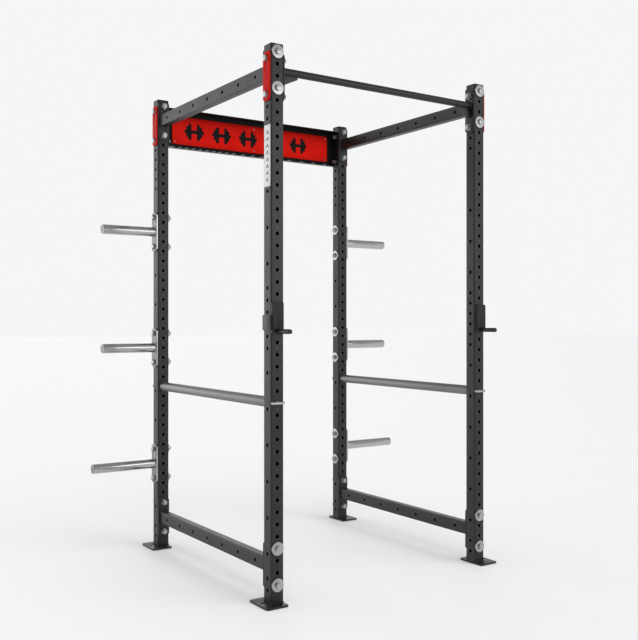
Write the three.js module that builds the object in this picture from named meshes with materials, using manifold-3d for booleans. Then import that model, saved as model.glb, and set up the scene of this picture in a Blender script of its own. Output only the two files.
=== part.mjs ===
// Power cage: four drilled square posts on foot plates, tied together by bolted side beams,
// a pull-up bar and a sign tray, with plate storage pegs, bar hooks and pinned safety pipes.
//
// Millimetres. +X is to the right of somebody who faces the front, +Y runs from front to back
// and +Z is up. The model is laid out around the middle of the four posts, and the whole group
// is moved at the end so that the origin is the middle of the bounding box, on the floor.

import * as THREE from 'three';
import { mergeGeometries, mergeVertices } from 'three/addons/utils/BufferGeometryUtils.js';
import Module from 'manifold-3d';

const wasm = await Module();
wasm.setup();

// ---------------------------------------------------------------- driving dimensions

const gap = 0.3; // left between pieces that rest on each other
const over = 1; // how far a cutting tool or a buried end runs past the face it meets

const postSpacing = 1140; // between post centres, across and along
const postSize = 60;
const postWall = 3;
const postCorner = 4;
const postTop = 2312;

const holeAcross = 17; // a clearance hole for an M16 bolt or a 16 mm pin
const holeSides = 4; // a round hole is drawn as a square that its pin or bolt still fits
const holePitch = 50;
const cornerFacets = 2; // flats in each rounded corner of an outline
const hexagon = 6; // sides of bolts, nuts and anchor holes
const rodFacets = 12; // sides of rods, arms, pins, washers and the tubes' bores
const tubeFacets = 16; // sides of the larger round tubes
const faceHoleCount = 45; // in the front and back faces
const firstFaceHole = 83;
const firstSideHole = 58; // the side rows are staggered by half a pitch
const everyThirdHole = (last) => Array.from({ length: last / 3 }, (_, i) => 3 * (i + 1));
const sideHoles = {
  front: [0, 1, ...everyThirdHole(33), 20, 22, 23, 25, 39, 40, 41, 44],
  rear: [0, 1, ...everyThirdHole(36), 37, 38, 39, 40, 41, 44],
};

const footThickness = 8;
const footLength = 150; // along Y
const footReach = 75; // outwards from the post's centre
const footCorner = 11;
const anchorHoleAcross = 14;
const anchorSpacing = 55;

const flangeWidth = postSize;
const flangeHeight = 200;
const flangeThickness = 6;
const flangeChamfer = 12;
const flangeBoltReach = 75; // a flange's two bolts are three hole pitches apart

const beamWidth = 40;
const beamHeight = 60;
const beamWall = 3;
const beamCorner = 4;
const beamHolePitch = 150;
const beamHoleCount = 7;
const beamBoltHoles = { lower: 0, upper: 41 }; // the face hole of each beam's lower bolts

const topBoltHole = 41; // the side hole of the lower bolt at each post's top
const barDiameter = 32;
const barWall = 3;
const barHeight = 2214;
const gussetLength = 80;
const gussetThickness = 8;
const gussetBottom = 2152;
const gussetTip = 10;

const backingHeight = 205;
const backingThickness = 4;

const traySheet = 3;
const trayNotchDepth = 30;
const trayCombDepth = 33; // the notched strip of the floor, a piece of its own
const trayToothWidth = 18;
const trayNotchEdge = 504; // where the first notch starts, left of the middle
const trayNotches = [
  { width: 22, count: 9 },
  { width: 42, count: 6 },
  { width: 62, count: 4 },
];
const panelLength = 989;
const panelHeight = 149;
const panelSheet = 2;
const panelCorner = 9;

const pegDiameter = 48.3;
const pegWall = 3;
const pegPlateHeight = 200;
const pegPlateThickness = 8;
const pegs = [
  { name: 'low', firstHole: 6, reach: 330 },
  { name: 'middle', firstHole: 18, reach: 280 },
  { name: 'high', firstHole: 30, reach: 280 },
];

const hookHole = 22; // the front post's side hole that holds the bar hook
const hookPlate = 6;
const hookLiner = 6;
const hookBottom = 1119;
const hookTop = 1251;
const hookLinerBottom = 1127;
const hookLinerClearance = 1; // around the arm
const hookSideBottom = 1133;
const hookSideTop = 1197;
const hookPegHeight = 1129;
const hookPegDiameter = 20;
const hookPegReach = 108; // in front of the post's face
const hookFaceWidth = 54;
const hookCorner = 6; // cut off the face's two upper corners
const hookPegRound = 4;
const hookPinLength = 44; // past the post's outer face

const pipeHole = 15; // the face hole that holds the safety pipes
const pipeDiameter = 45;
const pipeWall = 3;
const pipePlug = 70;
const pipeEndPlay = 1.5;
const pinDiameter = 16;
const pinReach = 60; // into the pipe's end plug
const pinHandleOffset = 7; // in front of the post's face
const pinHandleDiameter = 12;
const pinHandleLength = 60;

const boltDiameter = 16;
const boltHeadAcross = 24;
const boltHeadHeight = 10;
const boltNutHeight = 13;
const wideWasherDiameter = 56;
const wideWasherThickness = 5;
const washerDiameter = 30;
const washerThickness = 3;

// ---------------------------------------------------------------- positions worked out

const half = postSpacing / 2;
const innerFace = half - postSize / 2;
const outerFace = half + postSize / 2;
const boltSpan = 2 * flangeBoltReach;
const faceHoleZ = (index) => firstFaceHole + holePitch * index;
const sideHoleZ = (index) => firstSideHole + holePitch * index;

const ends = [
  { name: 'front', y: -half, out: -1 },
  { name: 'rear', y: half, out: 1 },
];
const sides = [
  { name: 'left', x: -half, out: -1 },
  { name: 'right', x: half, out: 1 },
];
const levels = [
  { name: 'lower', z: faceHoleZ(beamBoltHoles.lower) + flangeBoltReach },
  { name: 'upper', z: faceHoleZ(beamBoltHoles.upper) + flangeBoltReach },
];
const topPlateZ = sideHoleZ(topBoltHole) + flangeBoltReach;

// ---------------------------------------------------------------- finishes

const charcoalCoat = { color: 0x303133, roughness: 0.6, metalness: 0.1 };
const redCoat = { color: 0xc8170f, roughness: 0.45, metalness: 0.05 };
const zincPlate = { color: 0xc6c8ca, roughness: 0.35, metalness: 0.9 };
const satinSteel = { color: 0x9a9b9c, roughness: 0.4, metalness: 0.8 };
const blackPlastic = { color: 0x1b1b1c, roughness: 0.7, metalness: 0 };

// ---------------------------------------------------------------- solids

// A closed geometry with nothing but shared positions and an index.
function bare(geometry) {
  const copy = geometry.clone();
  copy.deleteAttribute('normal');
  copy.deleteAttribute('uv');
  return mergeVertices(copy);
}

function solid(geometry) {
  const shape = bare(geometry);
  return new wasm.Manifold(new wasm.Mesh({
    numProp: 3,
    vertProperties: new Float32Array(shape.attributes.position.array),
    triVerts: new Uint32Array(shape.index.array),
  }));
}

function join(...geometries) {
  return geometries.map(solid).reduce((whole, piece) => whole.add(piece));
}

// Cuts away tools that don't meet each other.
function cut(body, tools) {
  return body.subtract(solid(mergeGeometries(tools.map(bare))));
}

function geometryOf(body) {
  const mesh = body.getMesh();
  const geometry = new THREE.BufferGeometry();
  geometry.setAttribute('position', new THREE.BufferAttribute(mesh.vertProperties, 3));
  geometry.setIndex(new THREE.BufferAttribute(mesh.triVerts, 1));
  return geometry;
}

function block(x1, x2, y1, y2, z1, z2) {
  const geometry = new THREE.BoxGeometry(Math.abs(x2 - x1), Math.abs(y2 - y1), Math.abs(z2 - z1));
  geometry.translate((x1 + x2) / 2, (y1 + y2) / 2, (z1 + z2) / 2);
  return geometry;
}

// Turns a shape drawn along local Z so that it runs along a world axis, keeping it right-handed:
// along X its outline is read as (Y, Z), along Y as (Z, X) and along Z as (X, Y).
function turnTo(axis, geometry) {
  const x = new THREE.Vector3(1, 0, 0);
  const y = new THREE.Vector3(0, 1, 0);
  const z = new THREE.Vector3(0, 0, 1);
  const turn = new THREE.Matrix4();
  if (axis === 'x') turn.makeBasis(y, z, x);
  if (axis === 'y') turn.makeBasis(z, x, y);
  return geometry.applyMatrix4(turn);
}

// A flat outline carried along an axis from one station to another, around a centre point.
function slab(axis, outline, from, to, at = {}) {
  const geometry = new THREE.ExtrudeGeometry(outline, {
    depth: Math.abs(to - from),
    bevelEnabled: false,
    curveSegments: cornerFacets,
  });
  turnTo(axis, geometry);
  const corner = { x: 0, y: 0, z: 0, ...at, [axis]: Math.min(from, to) };
  return geometry.translate(corner.x, corner.y, corner.z);
}

// A round bar along an axis, around a centre point.
function rod(axis, diameter, facets, from, to, at) {
  const radius = diameter / 2;
  const geometry = new THREE.CylinderGeometry(radius, radius, Math.abs(to - from), facets);
  geometry.rotateX(Math.PI / 2);
  turnTo(axis, geometry);
  const centre = { x: 0, y: 0, z: 0, ...at, [axis]: (from + to) / 2 };
  return geometry.translate(centre.x, centre.y, centre.z);
}

// A regular prism given by the distance across its flats: a hexagon, or a drilled hole.
function prism(axis, across, facets, from, to, at) {
  return rod(axis, across / Math.cos(Math.PI / facets), facets, from, to, at);
}

function hole(axis, from, to, at) {
  return prism(axis, holeAcross, holeSides, from, to, at);
}

// A solid of revolution from (radius, station) points, along an axis.
function turned(axis, points, facets, at) {
  const profile = points.map(([radius, station]) => new THREE.Vector2(radius, station));
  const geometry = new THREE.LatheGeometry(profile, facets);
  geometry.rotateX(Math.PI / 2);
  turnTo(axis, geometry);
  const centre = { x: 0, y: 0, z: 0, ...at };
  return geometry.translate(centre.x, centre.y, centre.z);
}

// ---------------------------------------------------------------- outlines

function roundedRectangle(width, height, radius) {
  const shape = new THREE.Shape();
  const x = width / 2 - radius;
  const y = height / 2 - radius;
  shape.absarc(x, y, radius, 0, Math.PI / 2);
  shape.absarc(-x, y, radius, Math.PI / 2, Math.PI);
  shape.absarc(-x, -y, radius, Math.PI, 1.5 * Math.PI);
  shape.absarc(x, -y, radius, 1.5 * Math.PI, 2 * Math.PI);
  return shape;
}

// A rectangle whose corners are cut off at 45 degrees.
function chamferedRectangle(width, height, chamfer) {
  const x = width / 2;
  const y = height / 2;
  return new THREE.Shape([
    new THREE.Vector2(x, y - chamfer),
    new THREE.Vector2(x - chamfer, y),
    new THREE.Vector2(chamfer - x, y),
    new THREE.Vector2(-x, y - chamfer),
    new THREE.Vector2(-x, chamfer - y),
    new THREE.Vector2(chamfer - x, -y),
    new THREE.Vector2(x - chamfer, -y),
    new THREE.Vector2(x, chamfer - y),
  ]);
}

// ---------------------------------------------------------------- the assembly

const cage = new THREE.Group();

function add(name, body, finish) {
  const mesh = new THREE.Mesh(geometryOf(body), new THREE.MeshStandardMaterial(finish));
  mesh.name = name;
  cage.add(mesh);
}

// ---------------------------------------------------------------- posts and feet

function post(side, end) {
  const centre = { x: side.x, y: end.y };
  const bottom = footThickness + gap;
  const bore = postSize - 2 * postWall;
  const outside = roundedRectangle(postSize, postSize, postCorner);
  const inside = roundedRectangle(bore, bore, postCorner - postWall);
  const tube = solid(slab('z', outside, bottom, postTop, centre));
  const hollow = slab('z', inside, bottom - over, postTop + over, centre);
  const reach = postSize / 2 + over;
  const drills = [];
  for (let index = 0; index < faceHoleCount; index += 1) {
    const z = faceHoleZ(index);
    drills.push(hole('y', end.y - reach, end.y + reach, { x: side.x, z }));
  }
  for (const index of sideHoles[end.name]) {
    const z = sideHoleZ(index);
    drills.push(hole('x', side.x - reach, side.x + reach, { y: end.y, z }));
  }
  return cut(cut(tube, [hollow]), drills);
}

// The plate under a post, flush with the post's inner face and wider outside, with three anchor holes.
function footPlate(side, end) {
  const inner = side.x - side.out * (postSize / 2);
  const outer = side.x + side.out * footReach;
  const centre = { x: (inner + outer) / 2, y: end.y };
  const outline = roundedRectangle(Math.abs(outer - inner), footLength, footCorner);
  const plate = solid(slab('z', outline, 0, footThickness, centre));
  const anchors = [
    { x: side.x, y: end.y - anchorSpacing },
    { x: side.x, y: end.y + anchorSpacing },
    { x: side.x + side.out * anchorSpacing, y: end.y },
  ];
  const drills = anchors.map((at) => (
    prism('z', anchorHoleAcross, hexagon, -over, footThickness + over, at)
  ));
  return cut(plate, drills);
}

for (const end of ends) {
  for (const side of sides) {
    add(`${end.name}_${side.name}_post`, post(side, end), charcoalCoat);
    add(`${end.name}_${side.name}_foot_plate`, footPlate(side, end), charcoalCoat);
  }
}

// ---------------------------------------------------------------- side beams

// A drilled rectangular tube between two bolting flanges, along Y.
function sideBeam(side, level) {
  const centre = { x: side.x, z: level.z };
  const endY = innerFace - gap;
  const flangeBack = endY - flangeThickness;
  const flange = chamferedRectangle(flangeHeight, flangeWidth, flangeChamfer);
  const outside = roundedRectangle(beamHeight, beamWidth, beamCorner);
  const inside = roundedRectangle(
    beamHeight - 2 * beamWall,
    beamWidth - 2 * beamWall,
    beamCorner - beamWall,
  );
  const body = join(
    slab('y', outside, -flangeBack - over, flangeBack + over, centre),
    slab('y', flange, -endY, -flangeBack, centre),
    slab('y', flange, flangeBack, endY, centre),
  );
  const hollow = slab('y', inside, -flangeBack, flangeBack, centre);
  const drills = [];
  for (let index = 0; index < beamHoleCount; index += 1) {
    const y = (index - (beamHoleCount - 1) / 2) * beamHolePitch;
    drills.push(hole('x', side.x - beamWidth, side.x + beamWidth, { y, z: level.z }));
  }
  for (const up of [-1, 1]) {
    const at = { x: side.x, z: level.z + up * flangeBoltReach };
    drills.push(hole('y', -endY - over, -flangeBack + over, at));
    drills.push(hole('y', flangeBack - over, endY + over, at));
  }
  return cut(cut(body, [hollow]), drills);
}

for (const side of sides) {
  for (const level of levels) {
    add(`${side.name}_${level.name}_beam`, sideBeam(side, level), charcoalCoat);
  }
}

// ---------------------------------------------------------------- pull-up bar

// The brace under the bar at one end: deep at the flange and thin at its tip.
function barGusset(side) {
  const root = side.out * (innerFace - gap - over);
  const tip = side.out * (innerFace - gap - flangeThickness - gussetLength);
  const barUnderside = barHeight - barDiameter / 2;
  const shape = new THREE.Shape();
  shape.moveTo(barHeight, root);
  shape.lineTo(gussetBottom, root);
  shape.lineTo(gussetBottom, side.out * (innerFace - gap - flangeThickness));
  shape.lineTo(barUnderside - gussetTip, tip);
  shape.lineTo(barHeight, tip);
  return slab('y', shape, -half - gussetThickness / 2, -half + gussetThickness / 2);
}

// A round tube between two bolting flanges, along X, with a brace at each end.
function pullUpBar() {
  const endX = innerFace - gap;
  const flangeBack = endX - flangeThickness;
  const flange = chamferedRectangle(flangeWidth, flangeHeight, flangeChamfer);
  const flangeCentre = { y: -half, z: topPlateZ };
  const barCentre = { y: -half, z: barHeight };
  const body = join(
    slab('x', flange, -endX, -flangeBack, flangeCentre),
    slab('x', flange, flangeBack, endX, flangeCentre),
    ...sides.map(barGusset),
    rod('x', barDiameter, tubeFacets, -flangeBack - over, flangeBack + over, barCentre),
  );
  const bore = barDiameter - 2 * barWall;
  const drills = [rod('x', bore, rodFacets, -endX - over, endX + over, barCentre)];
  for (const up of [-1, 1]) {
    const at = { y: -half, z: topPlateZ + up * flangeBoltReach };
    drills.push(hole('x', -endX - over, -flangeBack + over, at));
    drills.push(hole('x', flangeBack - over, endX + over, at));
  }
  return cut(body, drills);
}

add('pull_up_bar', pullUpBar(), charcoalCoat);

// ---------------------------------------------------------------- backing plates

// The red plate on the outer face of a post's top, behind the heads of its two bolts.
function backingPlate(side, end) {
  const face = side.out * (outerFace + gap);
  const outline = chamferedRectangle(postSize, backingHeight, flangeChamfer);
  const centre = { y: end.y, z: topPlateZ };
  const plate = solid(slab('x', outline, face, face + side.out * backingThickness, centre));
  const drills = [-1, 1].map((up) => {
    const at = { y: end.y, z: topPlateZ + up * flangeBoltReach };
    return hole('x', face - side.out * over, face + side.out * (backingThickness + over), at);
  });
  return cut(plate, drills);
}

for (const end of ends) {
  for (const side of sides) {
    add(`${end.name}_${side.name}_backing_plate`, backingPlate(side, end), redCoat);
  }
}

// ---------------------------------------------------------------- sign tray and panel

// The notches in the comb's front edge, in three widths from left to right.
function trayNotchTools(front, bottom) {
  const tools = [];
  const notchTop = bottom + traySheet + over;
  const notchBack = front + trayNotchDepth;
  let left = -trayNotchEdge;
  for (const { width, count } of trayNotches) {
    for (let index = 0; index < count; index += 1) {
      const right = left + width;
      tools.push(block(left, right, front - over, notchBack, bottom - over, notchTop));
      left = right + trayToothWidth;
    }
  }
  return tools;
}

const trayPlace = {
  endX: innerFace - gap,
  front: half - postSize / 2,
  back: half + postSize / 2,
  bottom: topPlateZ - flangeHeight / 2,
  top: topPlateZ + flangeHeight / 2,
};

// A shallow box of bent sheet between the rear posts, open to the front, bolted through its ends.
// The front strip of its floor is left to the comb.
function signTray() {
  const { endX, front, back, bottom, top } = trayPlace;
  const inside = endX - traySheet;
  const floorTop = bottom + traySheet;
  const box = solid(block(-endX, endX, front, back, bottom, top));
  const room = block(-inside, inside, front - over, back - traySheet, floorTop, top - traySheet);
  const strip = block(-inside, inside, front - over, front + trayCombDepth, bottom - over, floorTop);
  const drills = [];
  for (const up of [-1, 1]) {
    const at = { y: half, z: topPlateZ + up * flangeBoltReach };
    drills.push(hole('x', -endX - over, -endX + traySheet + over, at));
    drills.push(hole('x', endX - traySheet - over, endX + over, at));
  }
  const hollow = solid(room).add(solid(strip));
  return cut(box.subtract(hollow), drills);
}

// The front strip of the tray's floor, notched to hang bands and ropes from.
function trayComb() {
  const { endX, front, bottom } = trayPlace;
  const reach = endX - traySheet - gap;
  const stripBack = front + trayCombDepth - gap;
  const strip = solid(block(-reach, reach, front, stripBack, bottom, bottom + traySheet));
  return cut(strip, trayNotchTools(front, bottom));
}

function signPanel() {
  const back = half + postSize / 2 - traySheet - gap;
  const outline = roundedRectangle(panelHeight, panelLength, panelCorner);
  return solid(slab('y', outline, back - panelSheet, back, { z: topPlateZ }));
}

add('sign_tray', signTray(), charcoalCoat);
add('sign_tray_comb', trayComb(), charcoalCoat);
add('sign_panel', signPanel(), redCoat);

// ---------------------------------------------------------------- plate storage pegs

// A capped tube on a bolting plate, on the outer face of a rear post.
function storagePeg(side, peg) {
  const face = side.out * (outerFace + gap);
  const plateFront = face + side.out * pegPlateThickness;
  const tip = plateFront + side.out * peg.reach;
  const z = sideHoleZ(peg.firstHole) + flangeBoltReach;
  const outline = chamferedRectangle(postSize, pegPlateHeight, flangeChamfer);
  const body = join(
    slab('x', outline, face, plateFront, { y: half, z }),
    rod('x', pegDiameter, tubeFacets, plateFront - side.out * over, tip, { y: half, z }),
  );
  const boreEnd = tip - side.out * pegWall;
  const bore = pegDiameter - 2 * pegWall;
  const drills = [rod('x', bore, rodFacets, face - side.out * over, boreEnd, { y: half, z })];
  for (const up of [-1, 1]) {
    const at = { y: half, z: z + up * flangeBoltReach };
    drills.push(hole('x', face - side.out * over, plateFront + side.out * over, at));
  }
  return cut(body, drills);
}

for (const side of sides) {
  for (const peg of pegs) {
    add(`${side.name}_${peg.name}_storage_peg`, storagePeg(side, peg), zincPlate);
  }
}

// ---------------------------------------------------------------- bar hooks

// An upright face with its two upper corners cut off, read as (Z, X) and carried along Y.
function hookFace(x1, x2, bottom, top, y1, y2) {
  const [left, right] = [Math.min(x1, x2), Math.max(x1, x2)];
  const shape = new THREE.Shape();
  shape.moveTo(bottom, left);
  shape.lineTo(top - hookCorner, left);
  shape.lineTo(top, left + hookCorner);
  shape.lineTo(top, right - hookCorner);
  shape.lineTo(top - hookCorner, right);
  shape.lineTo(bottom, right);
  return slab('y', shape, y1, y2);
}

// The round arm that carries the barbell, with a rounded tip.
function hookPeg(x) {
  const radius = hookPegDiameter / 2;
  const root = -outerFace - gap;
  const tip = -outerFace - hookPegReach;
  const points = [
    [0, root],
    [radius, root],
    [radius, tip + hookPegRound],
    [radius - hookPegRound * (1 - Math.SQRT1_2), tip + hookPegRound * (1 - Math.SQRT1_2)],
    [radius - hookPegRound, tip],
    [0, tip],
  ];
  return turned('y', points.reverse(), rodFacets, { x, z: hookPegHeight });
}

// The bent steel hook: a side plate with its locking pin, a front plate and the arm.
function barHook(side) {
  const sideIn = side.out * (outerFace + gap);
  const sideOut = sideIn + side.out * hookPlate;
  const faceOut = side.out * outerFace;
  const faceIn = side.out * (outerFace - hookFaceWidth);
  const front = -outerFace - gap - hookPlate;
  const pinTip = side.out * (outerFace - hookPinLength);
  const pinCentre = { y: -half, z: sideHoleZ(hookHole) };
  return join(
    block(sideIn, sideOut, front, -innerFace, hookSideBottom, hookSideTop),
    block(sideIn, faceOut - side.out * over, front, -outerFace - gap, hookSideBottom, hookSideTop),
    hookFace(faceOut, faceIn, hookBottom, hookTop, front, -outerFace - gap),
    rod('x', pinDiameter, rodFacets, sideIn + side.out * over, pinTip, pinCentre),
    hookPeg((faceOut + faceIn) / 2),
  );
}

// The plastic face in front of the hook's steel, notched over the arm.
function hookLinerPlate(side) {
  const faceOut = side.out * outerFace;
  const faceIn = side.out * (outerFace - hookFaceWidth);
  const back = -outerFace - 2 * gap - hookPlate;
  const face = hookFace(faceOut, faceIn, hookLinerBottom, hookTop, back - hookLiner, back);
  const notch = hookPegDiameter + 2 * hookLinerClearance;
  const clearance = rod('y', notch, rodFacets, back - hookLiner - over, back + over, {
    x: (faceOut + faceIn) / 2,
    z: hookPegHeight,
  });
  return cut(solid(face), [clearance]);
}

for (const side of sides) {
  add(`${side.name}_bar_hook`, barHook(side), charcoalCoat);
  add(`${side.name}_bar_hook_liner`, hookLinerPlate(side), blackPlastic);
}

// ---------------------------------------------------------------- safety pipes and pins

// A tube with a bored plug in each end, which turns on the pins.
function safetyPipe(side) {
  const radius = pipeDiameter / 2;
  const bore = holeAcross / 2;
  const inside = radius - pipeWall;
  const end = innerFace - pipeEndPlay;
  const plug = end - pipePlug;
  const points = [
    [bore, -end],
    [radius, -end],
    [radius, end],
    [bore, end],
    [bore, plug],
    [inside, plug],
    [inside, -plug],
    [bore, -plug],
    [bore, -end],
  ];
  return solid(turned('y', points, tubeFacets, { x: side.x, z: faceHoleZ(pipeHole) }));
}

// A round pin with a cross handle, pushed through a post into the end of a safety pipe.
function safetyPin(side, end) {
  const z = faceHoleZ(pipeHole);
  const handleY = end.out * (outerFace + pinHandleOffset);
  const tip = end.out * (innerFace - pinReach);
  const handleEnds = [-1, 1].map((way) => side.x + way * (pinHandleLength / 2));
  return join(
    rod('y', pinDiameter, rodFacets, handleY, tip, { x: side.x, z }),
    rod('x', pinHandleDiameter, rodFacets, ...handleEnds, { y: handleY, z }),
  );
}

for (const side of sides) {
  add(`${side.name}_safety_pipe`, safetyPipe(side), satinSteel);
  for (const end of ends) {
    add(`${end.name}_${side.name}_safety_pin`, safetyPin(side, end), zincPlate);
  }
}

// ---------------------------------------------------------------- bolts

// A hexagon bolt with its washer and nut. The clamped stack runs from the head's side to the
// nut's side along an axis, and the head points away from it.
function bolt(axis, headFace, nutFace, at, washer) {
  const out = Math.sign(headFace - nutFace);
  const washerOut = headFace + out * washer.thickness;
  const headOut = washerOut + out * boltHeadHeight;
  const nutOut = nutFace - out * boltNutHeight;
  return join(
    rod(axis, washer.diameter, rodFacets, headFace + out * gap, washerOut, at),
    prism(axis, boltHeadAcross, hexagon, washerOut - out * over, headOut, at),
    rod(axis, boltDiameter, hexagon, washerOut, nutOut + out * over, at),
    prism(axis, boltHeadAcross, hexagon, nutFace - out * gap, nutOut, at),
  );
}

const wideWasher = { diameter: wideWasherDiameter, thickness: wideWasherThickness };
const plainWasher = { diameter: washerDiameter, thickness: washerThickness };

// Through each post's front and back faces into the side beams' flanges.
for (const end of ends) {
  for (const side of sides) {
    for (const level of levels) {
      for (const row of [0, 1]) {
        const at = { x: side.x, z: level.z - flangeBoltReach + row * boltSpan };
        const head = end.out * outerFace;
        const nut = end.out * (innerFace - gap - flangeThickness);
        const name = `${end.name}_${side.name}_${level.name}_beam_bolt_${row + 1}`;
        add(name, bolt('y', head, nut, at, wideWasher), zincPlate);
      }
    }
  }
}

// Through each post's backing plate and side faces into the pull-up bar or the sign tray.
const crossPieces = {
  front: { name: 'pull_up', thickness: flangeThickness },
  rear: { name: 'tray', thickness: traySheet },
};
for (const end of ends) {
  for (const side of sides) {
    for (const row of [0, 1]) {
      const cross = crossPieces[end.name];
      const at = { y: end.y, z: topPlateZ - flangeBoltReach + row * boltSpan };
      const head = side.out * (outerFace + gap + backingThickness);
      const nut = side.out * (innerFace - gap - cross.thickness);
      const name = `${end.name}_${side.name}_${cross.name}_bolt_${row + 1}`;
      add(name, bolt('x', head, nut, at, plainWasher), zincPlate);
    }
  }
}

// ---------------------------------------------------------------- origin

// The hooks' arms reach further forwards than the rear feet reach back, so the middle of the
// bounding box lies in front of the middle of the posts.
const reachFront = outerFace + hookPegReach;
const reachBack = half + footLength / 2;
cage.position.y = (reachFront - reachBack) / 2;

export default cage;
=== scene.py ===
# %% [markdown]
# # A power cage, piece by piece
# A power cage is a frame that a lifter stands inside. Four square steel posts with rows of holes
# stand on foot plates. Bolted beams, a pull-up bar and a sign tray tie them together. Bar hooks and
# safety pipes hold the barbell, and round pegs at the back store the plates. The working model is
# already made as a set of plain faceted solids. This lesson loads those solids as a fixed
# frame and builds the finished surfaces round them, in metres, in the same place.

# %% Load the model as a fixed frame
import math

import bmesh
import bpy
import numpy as np
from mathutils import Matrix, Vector


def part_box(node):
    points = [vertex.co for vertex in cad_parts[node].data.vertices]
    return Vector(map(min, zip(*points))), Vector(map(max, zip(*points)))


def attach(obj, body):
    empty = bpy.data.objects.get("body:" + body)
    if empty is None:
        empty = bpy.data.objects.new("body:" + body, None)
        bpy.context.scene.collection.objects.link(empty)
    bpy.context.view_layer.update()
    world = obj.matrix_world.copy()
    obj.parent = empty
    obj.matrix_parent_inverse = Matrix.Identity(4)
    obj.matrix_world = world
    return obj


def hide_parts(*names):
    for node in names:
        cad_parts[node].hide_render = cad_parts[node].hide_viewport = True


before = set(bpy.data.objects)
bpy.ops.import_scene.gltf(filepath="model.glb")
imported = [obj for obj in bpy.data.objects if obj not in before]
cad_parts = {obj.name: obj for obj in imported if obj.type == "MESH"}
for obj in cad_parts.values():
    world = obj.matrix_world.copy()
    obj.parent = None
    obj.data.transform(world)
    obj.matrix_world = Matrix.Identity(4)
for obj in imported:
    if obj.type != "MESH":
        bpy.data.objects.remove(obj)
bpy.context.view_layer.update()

MM = 0.001
SEED = 11
print("nodes in the frame:", len(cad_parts))

# %% [markdown]
# ## Finishes as functions
# Every finish is a small network of shader nodes that reads the piece's own coordinates in metres,
# so the grain has a real size and stays with the piece when it moves. A shared helper wires up what
# all of them need: slow blotches of colour, fine grain, a roughness that varies with the grain, a
# bump and paler convex edges, partly where paint or plating has worn thin and partly as a painted
# highlight.

# %% A helper that wires up one finish
def finish(
    name, dark, light, rough, metal, grain, bump,
    stretch=(1, 1, 1), edge=None, shine=0.5, patches=0.07,
):
    """A surface whose colour mixes dark and light by slow blotches plus fine grain.

    grain is the number of grains per metre, bump its height in metres, stretch squashes the grain
    along an axis to make brushing, edge is the colour of convex edges, paler partly for worn coat
    and partly as a painted highlight, shine is how strongly the clear top of a paint reflects and
    patches is how far the roughness strays from rough.
    """
    material = bpy.data.materials.new(name)
    material.use_nodes = True
    nodes, links = material.node_tree.nodes, material.node_tree.links
    shader = nodes["Principled BSDF"]
    shader.inputs["Metallic"].default_value = metal
    shader.inputs["Specular IOR Level"].default_value = shine
    place = nodes.new("ShaderNodeTexCoord")
    squash = nodes.new("ShaderNodeMapping")
    squash.inputs["Scale"].default_value = stretch
    links.new(place.outputs["Object"], squash.inputs["Vector"])
    blotch = nodes.new("ShaderNodeTexNoise")
    blotch.inputs["Scale"].default_value = 9
    blotch.inputs["Detail"].default_value = 5
    links.new(place.outputs["Object"], blotch.inputs["Vector"])
    fine = nodes.new("ShaderNodeTexNoise")
    fine.inputs["Scale"].default_value = grain
    fine.inputs["Detail"].default_value = 3
    links.new(squash.outputs["Vector"], fine.inputs["Vector"])
    blend = nodes.new("ShaderNodeMath")
    blend.operation = "MULTIPLY_ADD"
    blend.inputs[1].default_value = 0.45
    links.new(blotch.outputs["Fac"], blend.inputs[0])
    soft = nodes.new("ShaderNodeMath")
    soft.operation = "MULTIPLY"
    soft.inputs[1].default_value = 0.55
    links.new(fine.outputs["Fac"], soft.inputs[0])
    links.new(soft.outputs[0], blend.inputs[2])
    tone = nodes.new("ShaderNodeValToRGB")
    tone.color_ramp.elements[0].position = 0.3
    tone.color_ramp.elements[0].color = (*dark, 1)
    tone.color_ramp.elements[1].position = 0.7
    tone.color_ramp.elements[1].color = (*light, 1)
    links.new(blend.outputs[0], tone.inputs["Fac"])
    colour = tone.outputs["Color"]
    # Convex edges turn paler: partly worn coat, partly a painted highlight where edges catch light.
    if edge:
        shape = nodes.new("ShaderNodeNewGeometry")
        convex = nodes.new("ShaderNodeMapRange")
        convex.inputs["From Min"].default_value = 0.54
        convex.inputs["From Max"].default_value = 0.62
        links.new(shape.outputs["Pointiness"], convex.inputs["Value"])
        patchy = nodes.new("ShaderNodeMath")
        patchy.operation = "MULTIPLY"
        links.new(convex.outputs["Result"], patchy.inputs[0])
        links.new(blotch.outputs["Fac"], patchy.inputs[1])
        wear_and_highlight_mix = nodes.new("ShaderNodeMix")
        wear_and_highlight_mix.data_type = "RGBA"
        wear_and_highlight_mix.inputs["B"].default_value = (*edge, 1)
        links.new(patchy.outputs[0], wear_and_highlight_mix.inputs["Factor"])
        links.new(colour, wear_and_highlight_mix.inputs["A"])
        colour = wear_and_highlight_mix.outputs["Result"]
    links.new(colour, shader.inputs["Base Color"])
    sheen = nodes.new("ShaderNodeMapRange")
    sheen.inputs["From Min"].default_value = 0.3
    sheen.inputs["From Max"].default_value = 0.7
    sheen.inputs["To Min"].default_value = rough - patches
    sheen.inputs["To Max"].default_value = rough + patches
    links.new(blend.outputs[0], sheen.inputs["Value"])
    links.new(sheen.outputs["Result"], shader.inputs["Roughness"])
    relief = nodes.new("ShaderNodeBump")
    relief.inputs["Strength"].default_value = 1.0
    relief.inputs["Distance"].default_value = bump
    links.new(fine.outputs["Fac"], relief.inputs["Height"])
    links.new(relief.outputs["Normal"], shader.inputs["Normal"])
    return material
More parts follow.
